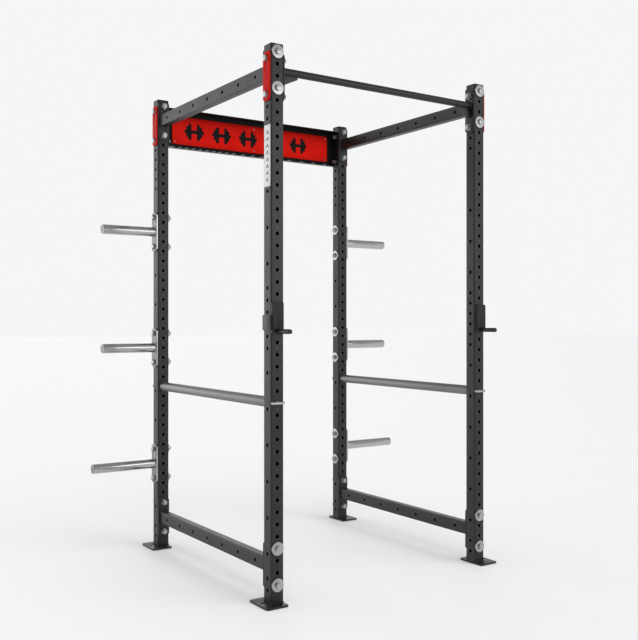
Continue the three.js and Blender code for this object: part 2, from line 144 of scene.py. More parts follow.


# %% [markdown]
# ## The cage's own finishes
# The frame wears a charcoal powder coat with a fine texture like orange peel. The backing plates
# and the sign panel have a smoother red coat. The pegs, pins, bolts and washers are zinc plated,
# and the safety pipes are satin steel, brushed along their length. The hook liners and post caps
# are black polyethylene, and the label on the front post is printed vinyl. The cut edges of the red
# plates and the inside of the tray get darker colours of their own, which are painted shade.

# %% Charcoal, red, zinc, satin steel, black plastic and vinyl
# The edge colours given here are worn coat plus a painted highlight on convex edges.
charcoal_coat = finish(
    "charcoal powder coat", (0.005, 0.0052, 0.0054), (0.009, 0.0092, 0.0095), 0.44, 0.0, 900,
    0.00009, edge=(0.05, 0.05, 0.05), shine=0.46,
)
red_coat = finish(
    "red powder coat", (0.52, 0.006, 0.003), (0.66, 0.011, 0.006), 0.42, 0.0, 700,
    0.00005, edge=(0.70, 0.07, 0.05), shine=0.03,
)
# A dark red for the red plates' cut edges and hole walls: painted shade.
red_edge_painted_shade = finish(
    "dark red painted shade on cut edges", (0.045, 0.006, 0.006), (0.07, 0.009, 0.009), 0.5, 0.0, 700,
    0.00005, shine=0.2,
)
zinc_plate = finish(
    "zinc plate", (0.42, 0.425, 0.43), (0.49, 0.495, 0.50), 0.21, 1.0, 900, 0.000002,
    stretch=(0.1, 1, 1), patches=0.015,
)
zinc_bolts = finish(
    "zinc fasteners", (0.38, 0.385, 0.39), (0.48, 0.485, 0.49), 0.38, 1.0, 500, 0.00002,
)
satin_steel = finish(
    "satin steel", (0.195, 0.195, 0.198), (0.27, 0.27, 0.274), 0.50, 1.0, 420, 0.00004,
    stretch=(1, 0.06, 1),
)
# A darker charcoal for the faces inside the sign tray: painted shade.
tray_inside_painted_shade = finish(
    "darker charcoal painted shade inside the tray", (0.004, 0.0036, 0.0036), (0.007, 0.0062, 0.0062), 0.6, 0.0,
    900, 0.00009, shine=0.12,
)
black_plastic = finish(
    "black polyethylene", (0.006, 0.006, 0.0065), (0.011, 0.011, 0.0115), 0.5, 0.0, 500,
    0.00006, shine=0.3,
)
# A near-black for tube insides and the walls of holes: painted shade.
painted_shade_inside = finish(
    "near-black painted shade inside tubes and holes", (0.003, 0.003, 0.003), (0.006, 0.006, 0.006), 0.8, 0.0, 500,
    0.00004, shine=0.1,
)
white_vinyl = finish(
    "white vinyl", (0.74, 0.74, 0.73), (0.82, 0.82, 0.81), 0.35, 0.0, 300, 0.00001,
)
black_ink = finish(
    "black ink", (0.015, 0.015, 0.016), (0.024, 0.024, 0.025), 0.4, 0.0, 300, 0.00001,
)
grey_ink = finish(
    "grey marking paint", (0.085, 0.085, 0.086), (0.11, 0.11, 0.111), 0.5, 0.0, 300, 0.00001,
)
print("finishes:", len(bpy.data.materials))

# %% [markdown]
# ## Surfaces as arrays
# A shape is computed as a whole array of points and an array of faces. A profile turned about an
# axis makes bars, washers and caps, and an outline carried along an axis makes tubes. Local
# coordinates are (u, v, s) with s along the piece. `placed` turns s onto X, Y or Z in the same
# right-handed way every time, so that outward faces stay outward.

# %% Placing, welding and building meshes
WELD_DISTANCE = 1e-6


def placed(points, axis, at):
    """Local (u, v, s) becomes (s, u, v) along X, (v, s, u) along Y and stays along Z, then moves."""
    order = {"x": [2, 0, 1], "y": [1, 2, 0], "z": [0, 1, 2]}[axis]
    return points[:, order] + np.asarray(at, float)


def grid_faces(rows, columns, closed):
    """Quads between neighbouring rows and columns of a grid; the columns may wrap round."""
    last = columns if closed else columns - 1
    row = np.arange(rows - 1)[:, None] * columns
    column = np.arange(last)[None, :]
    following = (column + 1) % columns
    corners = [row + column, row + following, row + columns + following, row + columns + column]
    return np.stack([c.ravel() for c in corners], 1)


def build(name, parts, material, smooth=32):
    """One mesh object from (points, faces) parts: equal points are welded and collapsed edges dropped."""
    points = np.concatenate([p for p, _ in parts])
    starts = np.cumsum([0] + [len(p) for p, _ in parts[:-1]])
    faces = [f + start for (_, f), start in zip(parts, starts)]
    keys = np.round(points / WELD_DISTANCE).astype(np.int64)
    part_of = np.repeat(np.arange(len(parts)), [len(p) for p, _ in parts])
    keys = np.column_stack([keys, part_of])
    _, first, welded = np.unique(keys, axis=0, return_index=True, return_inverse=True)
    welded = welded.ravel()
    polygons = []
    for group in faces:
        group = welded[group]
        kept = group != np.roll(group, 1, axis=1)
        whole = kept.all(1)
        polygons += group[whole].tolist()
        polygons += [row[keep].tolist() for row, keep in zip(group[~whole], kept[~whole])]
    polygons = [polygon for polygon in polygons if len(set(polygon)) > 2]
    mesh = bpy.data.meshes.new(name)
    mesh.from_pydata(points[first].tolist(), [], polygons)
    mesh.polygons.foreach_set("use_smooth", [True] * len(mesh.polygons))
    mesh.set_sharp_from_angle(angle=math.radians(smooth))
    mesh.materials.append(material)
    piece = bpy.data.objects.new(name, mesh)
    bpy.context.scene.collection.objects.link(piece)
    return piece


def softened(points, reach, steps=3, closed=False):
    """Rounds each corner of a polyline with a parabola that starts and ends `reach` from the corner."""
    points = np.asarray(points, float)
    count = len(points)
    path = []
    for index in range(count):
        corner = points[index]
        if not closed and index in (0, count - 1):
            path.append(corner)
            continue
        before, after = points[index - 1] - corner, points[(index + 1) % count] - corner
        size_before, size_after = np.linalg.norm(before), np.linalg.norm(after)
        start = corner + before * min(reach / size_before, 0.45)
        end = corner + after * min(reach / size_after, 0.45)
        for t in np.linspace(0, 1, steps + 1):
            path.append((1 - t) ** 2 * start + 2 * t * (1 - t) * corner + t ** 2 * end)
    return np.array(path)


def turned(axis, profile, at, around=32):
    """A profile of (radius, s) points spun about the s axis: u = r cos a, v = r sin a."""
    profile = np.asarray(profile, float)
    angle = np.linspace(0, 2 * math.pi, around, endpoint=False)
    radius, station = profile[:, 0][:, None], profile[:, 1][:, None]
    u, v, s = np.broadcast_arrays(radius * np.cos(angle), radius * np.sin(angle), station)
    points = np.stack([u.ravel(), v.ravel(), s.ravel()], 1)
    return placed(points, axis, at), grid_faces(len(profile), around, True)


def round_bar(axis, radius, start, end, at, soft=0.0012, around=32):
    """A solid bar from start to end along an axis, with softened rims and closed ends."""
    low, high = min(start, end), max(start, end)
    profile = softened([(0, low), (radius, low), (radius, high), (0, high)], soft)
    return turned(axis, profile, at, around)


print("surface helpers ready")

# %% [markdown]
# ## Plates
# Flanges, feet and backing plates are flat bars with cut corners and drilled holes. A filled flat
# curve does this well: its first loop is the outline, the others are holes, and a small bevel
# rounds every edge. The filled curve is turned into plain arrays before it is placed.

# %% A flat plate with holes and rounded edges
def circle_loop(u, v, radius, count=28):
    """Points of a circle: centre plus radius times (cos a, sin a)."""
    angle = np.linspace(0, 2 * math.pi, count, endpoint=False)
    return np.column_stack([u + radius * np.cos(angle), v + radius * np.sin(angle)])


def cut_corner_loop(width, height, chamfer, soft=0.0015):
    """A rectangle whose corners are cut at 45 degrees, each angle slightly softened."""
    x, y = width / 2, height / 2
    corners = [
        (x, y - chamfer), (x - chamfer, y), (chamfer - x, y), (-x, y - chamfer),
        (-x, chamfer - y), (chamfer - x, -y), (x - chamfer, -y), (x, chamfer - y),
    ]
    return softened(corners, soft, 3, True)


def round_corner_loop(width, height, radius, u=0.0, v=0.0):
    """A rectangle with rounded corners round a centre."""
    x, y = width / 2, height / 2
    return softened([(x, -y), (x, y), (-x, y), (-x, -y)], radius, 7, True) + (u, v)


def curve_arrays(curve):
    """Turns a filled curve or a text into arrays of points and outward triangles, and removes it."""
    holder = bpy.data.objects.new(curve.name, curve)
    bpy.context.scene.collection.objects.link(holder)
    graph = bpy.context.evaluated_depsgraph_get()
    mesh = bpy.data.meshes.new_from_object(holder.evaluated_get(graph))
    solid = bmesh.new()
    solid.from_mesh(mesh)
    bmesh.ops.remove_doubles(solid, verts=solid.verts, dist=WELD_DISTANCE)
    bmesh.ops.recalc_face_normals(solid, faces=solid.faces)
    bmesh.ops.triangulate(solid, faces=solid.faces)
    solid.to_mesh(mesh)
    solid.free()
    points = np.zeros(len(mesh.vertices) * 3)
    mesh.vertices.foreach_get("co", points)
    faces = np.zeros(len(mesh.polygons) * 3, np.int32)
    mesh.polygons.foreach_get("vertices", faces)
    bpy.data.objects.remove(holder)
    bpy.data.curves.remove(curve)
    bpy.data.meshes.remove(mesh)
    return points.reshape(-1, 3), faces.reshape(-1, 3)


def plate(axis, loops, low, high, at, bevel=0.6 * MM):
    """Fills the first loop, leaves the others open, and gives the sheet its thickness along an axis."""
    curve = bpy.data.curves.new("plate outline", "CURVE")
    curve.dimensions = "2D"
    curve.fill_mode = "BOTH"
    curve.extrude = (high - low) / 2 - bevel
    curve.bevel_depth = bevel
    curve.bevel_resolution = 1
    curve.offset = -bevel
    for loop in loops:
        spline = curve.splines.new("POLY")
        spline.points.add(len(loop) - 1)
        flat = np.column_stack([loop, np.zeros(len(loop)), np.ones(len(loop))])
        spline.points.foreach_set("co", flat.ravel())
        spline.use_cyclic_u = True
    points, faces = curve_arrays(curve)
    points = points + (0, 0, (low + high) / 2)
    return placed(points, axis, at), faces


print("plate helper ready")

# %% [markdown]
# ## Drilled square tube
# A drilled tube could be cut with booleans, but hundreds of cuts leave ragged triangles. Here the
# wall is a grid that runs round the section and along the length, and each tile with a hole in it
# is swapped for a ring of quads between the tile's border and a circle. The inner wall is the same
# grid on a smaller section, and short walls close every hole and both ends. The inner faces and the
# hole walls get a near-black as painted shade.

# %% The drilled tube as one grid with rings in it
SIDE_STEPS = 6
CORNER_STEPS = 3


def section(half_u, half_v, corner):
    """Points round a rounded rectangle: four flats of equal steps joined by quarter circles."""
    flat = np.linspace(-1, 1, SIDE_STEPS + 1)
    turn = np.linspace(0, math.pi / 2, CORNER_STEPS + 1)[1:-1]
    points = []
    for quarter in range(4):
        across, deep = (half_v, half_u) if quarter % 2 == 0 else (half_u, half_v)
        straight = np.column_stack([np.full_like(flat, deep), flat * (across - corner)])
        bend = np.column_stack([
            deep - corner + corner * np.cos(turn),
            across - corner + corner * np.sin(turn),
        ])
        local = np.concatenate([straight, bend])
        cos, sin = [(1, 0), (0, 1), (-1, 0), (0, -1)][quarter]
        points.append(np.column_stack([
            local[:, 0] * cos - local[:, 1] * sin,
            local[:, 0] * sin + local[:, 1] * cos,
        ]))
    return np.concatenate(points)


def drilled_tube(axis, half_u, half_v, corner, wall, tiles, holes, radius, at):
    """A square tube whose face f has a hole in tile t wherever holes[f, t] is true.

    tiles are the stations between tiles along the tube. Ring point i of a hole is its centre plus
    radius times (cos a, sin a) on the face, with a = 225 degrees + 15 i, matched to border point i.
    """
    shares = np.arange(SIDE_STEPS) / SIDE_STEPS
    stations = (tiles[:-1, None] + np.diff(tiles)[:, None] * shares).ravel()
    stations = np.append(stations, tiles[-1])
    outline = section(half_u, half_v, corner)
    inline = section(half_u - wall, half_v - wall, corner - wall)
    around, rows = len(outline), len(stations)
    face_span = SIDE_STEPS + CORNER_STEPS

    def wall_points(ring):
        return np.column_stack([np.tile(ring, (rows, 1)), np.repeat(stations, around)])

    quads = grid_faces(rows, around, True)
    tile_of_row = np.repeat(np.arange(rows - 1) // SIDE_STEPS, around)
    column = np.tile(np.arange(around), rows - 1)
    on_flat = column % face_span < SIDE_STEPS
    drilled = on_flat & holes[column // face_span, tile_of_row]
    quads = quads[~drilled]
    face, tile = np.nonzero(holes)
    step = np.arange(SIDE_STEPS)
    full = np.full(SIDE_STEPS, SIDE_STEPS)
    border_column = np.concatenate([step, full, SIDE_STEPS - step, 0 * step])
    border_row = np.concatenate([0 * step, step, full, SIDE_STEPS - step])
    border = (tile[:, None] * SIDE_STEPS + border_row) * around
    border = border + (face[:, None] * face_span + border_column) % around
    ring_size = len(border_column)
    angle = math.radians(225) + np.arange(ring_size) * 2 * math.pi / ring_size
    middle = (tiles[tile] + tiles[tile + 1]) / 2
    sideways = radius * np.cos(angle)[None, :]
    along = middle[:, None] + radius * np.sin(angle)[None, :]
    out_u = np.array([1, 0, -1, 0])[face][:, None]
    out_v = np.array([0, 1, 0, -1])[face][:, None]

    def ring_points(inset):
        reach = np.where(face % 2 == 0, half_u - inset, half_v - inset)[:, None]
        u = reach * out_u - sideways * out_v
        v = reach * out_v + sideways * out_u
        return np.stack([a.ravel() for a in np.broadcast_arrays(u, v, along)], 1)

    outer, inner = wall_points(outline), wall_points(inline)
    rim_out, rim_in = ring_points(0.0), ring_points(wall)
    points = np.concatenate([outer, inner, rim_out, rim_in])
    inner_start, rim_start = len(outer), len(outer) + len(inner)
    rim_in_start = rim_start + len(rim_out)
    ring = np.arange(face.size * ring_size).reshape(-1, ring_size)
    border_next, ring_next = np.roll(border, -1, 1), np.roll(ring, -1, 1)
    collar = np.stack([border, border_next, rim_start + ring_next, rim_start + ring], 2)
    collar_in = np.stack([
        inner_start + border, rim_in_start + ring, rim_in_start + ring_next, inner_start + border_next,
    ], 2)
    bore = np.stack([
        rim_start + ring, rim_start + ring_next, rim_in_start + ring_next, rim_in_start + ring,
    ], 2)
    lap = np.arange(around)
    lap_next = np.roll(lap, -1)
    top = (rows - 1) * around
    start_end = np.stack([lap, inner_start + lap, inner_start + lap_next, lap_next], 1)
    far_end = np.stack([
        top + lap, top + lap_next, inner_start + top + lap_next, inner_start + top + lap,
    ], 1)
    faces = np.concatenate([
        quads, inner_start + quads[:, ::-1], collar.reshape(-1, 4), collar_in.reshape(-1, 4),
        bore.reshape(-1, 4), start_end, far_end,
    ])
    return placed(points, axis, at), faces


def face_centres(piece):
    """The centre of every face of a piece, as an array of (x, y, z)."""
    centres = np.zeros(len(piece.data.polygons) * 3)
    piece.data.polygons.foreach_get("center", centres)
    return centres.reshape(-1, 3)


def second_material(piece, material, chosen):
    """Gives the chosen faces of a piece another material."""
    piece.data.materials.append(material)
    piece.data.polygons.foreach_set("material_index", chosen.astype(np.int32))


def darken_inside(piece, axis, half_u, half_v, wall, low, high, at):
    """Gives a near-black, as painted shade, to every face behind the tube's outer skin: inner faces and
    hole edges.
    """
    order = {"x": [1, 2, 0], "y": [2, 0, 1], "z": [0, 1, 2]}[axis]
    u, v, s = (face_centres(piece) - np.asarray(at, float))[:, order].T
    deep = (abs(u) < half_u - 0.45 * wall) & (abs(v) < half_v - 0.45 * wall)
    second_material(piece, painted_shade_inside, deep & (s > low + MM) & (s < high - MM))


print("tube helper ready")

# %% [markdown]
# ## Weld beads
# Flanges, feet and pegs are welded on. A weld is a thin rippled roll of metal that follows the
# joint, so it is a small circle carried round a closed outline, with a radius that swells and
# shrinks every couple of millimetres.

# %% A rippled bead round a joint
BEAD = 2.6 * MM
RIPPLE = 2.4 * MM
BEAD_LIFT = 1 * MM


def bead(axis, loop, station, at, size=BEAD):
    """Radius = size (1 + 0.14 sin(2 pi distance / ripple)), carried round the loop at one station."""
    closed = np.concatenate([loop, loop[:1]])
    lengths = np.linalg.norm(np.diff(closed, axis=0), axis=1)
    total = lengths.sum()
    count = max(24, int(total / (RIPPLE / 3)))
    walk = np.linspace(0, total, count, endpoint=False)
    marks = np.concatenate([[0], np.cumsum(lengths)])
    path = np.column_stack([np.interp(walk, marks, closed[:, k]) for k in (0, 1)])
    tangent = np.roll(path, -1, 0) - np.roll(path, 1, 0)
    tangent /= np.linalg.norm(tangent, axis=1)[:, None]
    outward = np.column_stack([tangent[:, 1], -tangent[:, 0]])
    angle = np.linspace(0, 2 * math.pi, 8, endpoint=False)
    thick = size * (1 + 0.14 * np.sin(2 * math.pi * walk / RIPPLE))
    flat = path[None] + (thick[None] * np.cos(angle)[:, None])[..., None] * outward[None]
    high = station + thick[None] * np.sin(angle)[:, None]
    points = np.column_stack([flat.reshape(-1, 2), high.ravel()])
    faces = grid_faces(len(angle) + 1, count, True) % (len(angle) * count)
    return placed(points, axis, at), faces


print("bead helper ready")

# %% [markdown]
# ## Where things are
# The posts' boxes in the model give every centre line. The hole rows start at known heights
# and step by 50 mm, with the side rows staggered by half a step.

# %% Centre lines and hole rows from the frame
SIDES = {"left": -1, "right": 1}
ENDS = {"front": -1, "rear": 1}
GAP = 0.3 * MM
PITCH = 50 * MM
FACE_ROW = 83 * MM
SIDE_ROW = 58 * MM
HOLE_RADIUS = 8.5 * MM
FLANGE_BOLTS = 75 * MM
POST_CORNER = 4 * MM
WALL = 3 * MM

post_low, post_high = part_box("front_left_post")
rear_low, rear_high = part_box("rear_right_post")
POST_HALF = (post_high.x - post_low.x) / 2
post_x = {"left": (post_low.x + post_high.x) / 2, "right": (rear_low.x + rear_high.x) / 2}
post_y = {"front": (post_low.y + post_high.y) / 2, "rear": (rear_low.y + rear_high.y) / 2}
cage_y = (post_y["front"] + post_y["rear"]) / 2
INNER = post_x["right"] - POST_HALF
print("post centres", post_x, post_y, "post half", round(POST_HALF, 4))

# %% [markdown]
# ## Posts
# Each post is a 60 mm square tube, drilled right through both ways. The front and back faces have a
# hole every 50 mm. The side faces have fewer: every third one, with full runs where hooks and
# uprights are set most often. A tile is half a pitch tall, so face holes and side holes fall in
# alternate tiles.

# %% Four drilled posts
FACE_HOLES = range(45)
SIDE_HOLES = {
    "front": [0, 1, *range(3, 34, 3), 20, 22, 23, 25, 39, 40, 41, 44],
    "rear": [0, 1, *range(3, 37, 3), 37, 38, 39, 40, 41, 44],
}


def post_tiles(end):
    """Stations every half pitch, centred on the hole rows, and the true/false table of holes."""
    half_pitch = PITCH / 2
    last = 2 * (len(FACE_HOLES) - 1) + 1
    middles = SIDE_ROW + half_pitch * np.arange(last + 1)
    edges = np.append(middles - half_pitch / 2, middles[-1] + half_pitch / 2)
    tiles = np.concatenate([[post_low.z], edges, [post_high.z]])
    holes = np.zeros((4, len(tiles) - 1), bool)
    for index in SIDE_HOLES[end]:
        holes[[0, 2], 1 + 2 * index] = True
    for index in FACE_HOLES:
        holes[[1, 3], 2 + 2 * index] = True
    return tiles, holes


for end in ENDS:
    for side in SIDES:
        tiles, holes = post_tiles(end)
        at = (post_x[side], post_y[end], 0)
        tube = drilled_tube(
            "z", POST_HALF, POST_HALF, POST_CORNER, WALL, tiles, holes, HOLE_RADIUS, at,
        )
        post = build(f"{end}_{side}_post_tube", [tube], charcoal_coat)
        # The post's inner faces and hole walls get the near-black: painted shade.
        darken_inside(post, "z", POST_HALF, POST_HALF, WALL, post_low.z, post_high.z, at)
        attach(post, "frame")
        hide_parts(f"{end}_{side}_post")
        print(post.name, len(post.data.polygons), "faces")

# %% [markdown]
# ## Post caps
# Each post is closed by a pushed-in plastic cap with a soft top edge. Its shape is the post's
# outline drawn in step by step while it rises through a quarter circle, then filled to the middle.

# %% Four caps
CAP_HEIGHT = 5 * MM
CAP_ROUND = 3 * MM
CAP_LIFT = 0.1 * MM


def rounded_cap(axis, half, corner, base, height, soft, at):
    """Rings of the outline: inset = soft (1 - cos t), height = base + height - soft (1 - sin t)."""
    ring = section(half, half, corner)
    turn = np.linspace(0, math.pi / 2, 5)
    inset = np.concatenate([[0], soft * (1 - np.cos(turn)), [half]])
    rise = np.concatenate([[base], base + height - soft * (1 - np.sin(turn)), [base + height]])
    inset = np.concatenate([[half], inset])
    rise = np.concatenate([[base], rise])
    scale = (1 - inset / half)[:, None, None]
    flat = ring[None] * scale
    high = np.broadcast_to(rise[:, None], flat.shape[:2])
    points = np.concatenate([flat, high[..., None]], 2).reshape(-1, 3)
    return placed(points, axis, at), grid_faces(len(inset), len(ring), True)


for end in ENDS:
    for side in SIDES:
        at = (post_x[side], post_y[end], 0)
        base = post_high.z + CAP_LIFT
        skin = rounded_cap("z", POST_HALF, POST_CORNER, base, CAP_HEIGHT, CAP_ROUND, at)
        cap = build(f"{end}_{side}_post_cap", [skin], black_plastic, smooth=50)
        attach(cap, "frame")
        print(cap.name, len(cap.data.polygons), "faces")

# %% [markdown]
# ## Foot plates
# Each post is welded to an 8 mm plate that is flush with the post on the inside and wider outside,
# with three holes for anchors. The bead round the post's foot belongs to the same weldment.

# %% Four feet with their welds
ANCHOR_RADIUS = 7 * MM
ANCHOR_REACH = 55 * MM
FOOT_CORNER = 12 * MM
MARGIN = 0.1 * MM

for end in ENDS:
    for side, out in SIDES.items():
        low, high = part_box(f"{end}_{side}_foot_plate")
        centre = (low + high) / 2
        width, length = high.x - low.x, high.y - low.y
        shift = post_x[side] - centre.x
        spots = [(shift, -ANCHOR_REACH), (shift, ANCHOR_REACH), (shift + out * ANCHOR_REACH, 0)]
        loops = [round_corner_loop(width, length, FOOT_CORNER)]
        loops += [circle_loop(u, v, ANCHOR_RADIUS) for u, v in spots]
        sheet = plate("z", loops, low.z, high.z, (centre.x, centre.y, 0))
        weld_line = section(POST_HALF, POST_HALF, POST_CORNER)
        weld = bead("z", weld_line, high.z + BEAD_LIFT, (post_x[side], post_y[end], 0))
        foot = build(f"{end}_{side}_foot", [sheet, weld], charcoal_coat)
        offsets = face_centres(foot)[:, None, :2] - centre.xy - np.array(spots)
        in_bore = (np.linalg.norm(offsets, axis=2) < ANCHOR_RADIUS + 2 * MARGIN).any(1)
        # The walls of the anchor holes get the near-black: painted shade.
        second_material(foot, painted_shade_inside, in_bore)
        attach(foot, "frame")
        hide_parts(f"{end}_{side}_foot_plate")
        print(foot.name, "with", int(in_bore.sum()), "faces in its anchor holes")

# %% [markdown]
# ## Side beams
# The beams are 60 by 40 mm tubes with seven holes along each upright face, welded between two
# flanges that bolt to the posts. The tube comes from the same function as the posts, laid along Y.

# %% Four side beams
FLANGE_WIDTH = 2 * POST_HALF
FLANGE_HEIGHT = 200 * MM
FLANGE_CUT = 12 * MM
FLANGE_THICK = 6 * MM
BEAM_HALF_WIDTH = 20 * MM
BEAM_HALF_HEIGHT = 30 * MM
BEAM_PITCH = 150 * MM
BEAM_HOLES = 7


def bolt_loops(spread, vertical_first):
    """The two bolt holes of a flange, above and below its middle."""
    spots = [(-spread, 0), (spread, 0)] if vertical_first else [(0, -spread), (0, spread)]
    return [circle_loop(u, v, HOLE_RADIUS) for u, v in spots]


def beam_tiles(low, high):
    """Short tiles round each hole with long plain tiles between them."""
    middles = (np.arange(BEAM_HOLES) - (BEAM_HOLES - 1) / 2) * BEAM_PITCH
    half_tile = PITCH / 4
    edges = np.column_stack([middles - half_tile, middles + half_tile]).ravel()
    tiles = np.concatenate([[low], edges, [high]])
    holes = np.zeros((4, len(tiles) - 1), bool)
    holes[1, 1::2] = True
    holes[3, 1::2] = True
    return tiles, holes


for side in SIDES:
    for level in ("lower", "upper"):
        low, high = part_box(f"{side}_{level}_beam")
        at = (post_x[side], cage_y, (low.z + high.z) / 2)
        reach = (high.y - low.y) / 2
        flange_in = reach - FLANGE_THICK
        tiles, holes = beam_tiles(-flange_in, flange_in)
        parts = [drilled_tube(
            "y", BEAM_HALF_HEIGHT, BEAM_HALF_WIDTH, POST_CORNER, WALL, tiles, holes, HOLE_RADIUS, at,
        )]
        weld_line = section(BEAM_HALF_HEIGHT, BEAM_HALF_WIDTH, POST_CORNER)
        loops = [cut_corner_loop(FLANGE_HEIGHT, FLANGE_WIDTH, FLANGE_CUT)]
        loops += bolt_loops(FLANGE_BOLTS, True)
        parts.append(plate("y", loops, -reach, -flange_in, at))
        parts.append(plate("y", loops, flange_in, reach, at))
        parts.append(bead("y", weld_line, -flange_in + BEAD_LIFT, at))
        parts.append(bead("y", weld_line, flange_in - BEAD_LIFT, at))
        beam = build(f"{side}_{level}_side_beam", parts, charcoal_coat)
        reach_in = (BEAM_HALF_HEIGHT, BEAM_HALF_WIDTH, WALL, -flange_in, flange_in)
        # The beam's inner faces and hole walls get the near-black: painted shade.
        darken_inside(beam, "y", *reach_in, at)
        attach(beam, "frame")
        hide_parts(f"{side}_{level}_beam")
        print(beam.name, len(beam.data.polygons), "faces")

# %% [markdown]
# ## Pull-up bar
# A 32 mm round bar runs between two bolting flanges. A brace plate under each end stiffens it. It
# tapers from full depth at the flange to a short nose under the bar.

# %% The bar, its flanges and its braces
low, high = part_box("pull_up_bar")
BAR_RADIUS = 16 * MM
BAR_HEIGHT = 2214 * MM
BRACE_LENGTH = 80 * MM
BRACE_BOTTOM = 2152 * MM
BRACE_NOSE = 10 * MM
BRACE_HALF = 4 * MM
PLATE_SOFT = 1.5 * MM
TOP_PLATE_Z = SIDE_ROW + 41 * PITCH + FLANGE_BOLTS

flange_out = high.x
flange_in = high.x - FLANGE_THICK
front_y = post_y["front"]
parts = [round_bar("x", BAR_RADIUS, -flange_in, flange_in, (0, front_y, BAR_HEIGHT), around=48)]
for out in SIDES.values():
    loops = [cut_corner_loop(FLANGE_WIDTH, FLANGE_HEIGHT, FLANGE_CUT)]
    loops += bolt_loops(FLANGE_BOLTS, False)
    faces_at = sorted([out * flange_in, out * flange_out])
    parts.append(plate("x", loops, *faces_at, (0, front_y, TOP_PLATE_Z)))
    root, nose = out * flange_in, out * (flange_in - BRACE_LENGTH)
    under = BAR_HEIGHT - BAR_RADIUS
    corners = [
        (BAR_HEIGHT - BAR_RADIUS / 2, root), (BRACE_BOTTOM, root),
        (under - BRACE_NOSE, nose), (BAR_HEIGHT - BAR_RADIUS / 2, nose),
    ]
    brace = softened(corners[::out], PLATE_SOFT, 2, True)
    parts.append(plate("y", [brace], -BRACE_HALF, BRACE_HALF, (0, front_y, 0)))
    ring = circle_loop(0, 0, BAR_RADIUS, 48)
    parts.append(bead("x", ring, root - out * BEAD_LIFT, (0, front_y, BAR_HEIGHT)))
pull_up = build("pull_up_bar_weldment", parts, charcoal_coat)
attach(pull_up, "frame")
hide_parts("pull_up_bar")
print(pull_up.name, len(pull_up.data.polygons), "faces")

# %% [markdown]
# ## Backing plates
# A red plate sits behind the two bolts on the outer face of each post's top. It is the same shape as
# a flange, laser cut from 4 mm sheet and left plain. Its cut edges and hole walls get a dark red
# that is painted shade.

# %% Four red backing plates
for end in ENDS:
    for side in SIDES:
        low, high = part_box(f"{end}_{side}_backing_plate")
        loops = [cut_corner_loop(high.y - low.y, high.z - low.z, FLANGE_CUT)]
        loops += bolt_loops(FLANGE_BOLTS, False)
        at = (0, post_y[end], TOP_PLATE_Z)
        sheet = plate("x", loops, low.x, high.x, at)
        red = build(f"{end}_{side}_red_plate", [sheet], red_coat)
        # Faces near the plate's middle plane, its cut edges and hole walls, get the dark red: painted
        # shade.
        off_middle = abs(face_centres(red)[:, 0] - (low.x + high.x) / 2)
        second_material(red, red_edge_painted_shade, off_middle < (high.x - low.x) / 4)
        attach(red, "frame")
        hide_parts(f"{end}_{side}_backing_plate")
        print(red.name, len(red.data.polygons), "faces")

# %% [markdown]
# ## Sign tray
# The rear crossmember is a shallow tray of 3 mm sheet, open to the front. Its back, roof and the
# rear half of its floor are one folded channel, its ends are bolted through the posts, and the
# front half of its floor is a comb of notches in three widths, where bands and ropes can hang.
# The faces inside the tray get a darker, matt charcoal as painted shade.

# %% The tray's channel, ends and comb
tray_low, tray_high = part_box("sign_tray")
SHEET = 3 * MM
FOLD = 4 * MM
NOTCH_DEPTH = 30 * MM
TOOTH = 18 * MM
FIRST_NOTCH = -504 * MM
NOTCH_SOFT = 2 * MM
COMB_OVERLAP = 3 * MM
COMB_BEVEL = 0.4 * MM
END_CORNER = 3 * MM
END_CLEARANCE = 1 * MM
NOTCHES = [(22 * MM, 9), (42 * MM, 6), (62 * MM, 4)]


def channel(low, high, front, comb_back):
    """A folded profile of (z, y) points, offset by the sheet, carried along X and closed at both ends."""
    outer = softened([
        (low.z, comb_back), (low.z, high.y), (high.z, high.y), (high.z, front),
    ], FOLD, 5)
    inner = softened([
        (low.z + SHEET, comb_back), (low.z + SHEET, high.y - SHEET),
        (high.z - SHEET, high.y - SHEET), (high.z - SHEET, front),
    ], FOLD - SHEET / 2, 5)
    loop = np.concatenate([outer, inner[::-1]])
    stations = np.array([low.x, high.x])
    count = len(loop)
    points = np.column_stack([
        np.repeat(stations, count), np.tile(loop[:, 1], 2), np.tile(loop[:, 0], 2),
    ])
    faces = grid_faces(2, count, True)
    half = count // 2
    lane = np.arange(half - 1)
    cap = np.stack([lane, lane + 1, count - 2 - lane, count - 1 - lane], 1)
    return points, np.concatenate([faces, cap[:, ::-1], count + cap])


def comb_loop(low_x, high_x, front, back):
    """The floor's front half: straight at the back, notched at the front, with soft corners."""
    corners = [(high_x, back), (low_x, back), (low_x, front)]
    left = FIRST_NOTCH
    for width, count in NOTCHES:
        for _ in range(count):
            right = left + width
            corners += [(left, front), (left, front + NOTCH_DEPTH)]
            corners += [(right, front + NOTCH_DEPTH), (right, front)]
            left = right + TOOTH
    corners.append((high_x, front))
    return softened(corners, NOTCH_SOFT, 3, True)


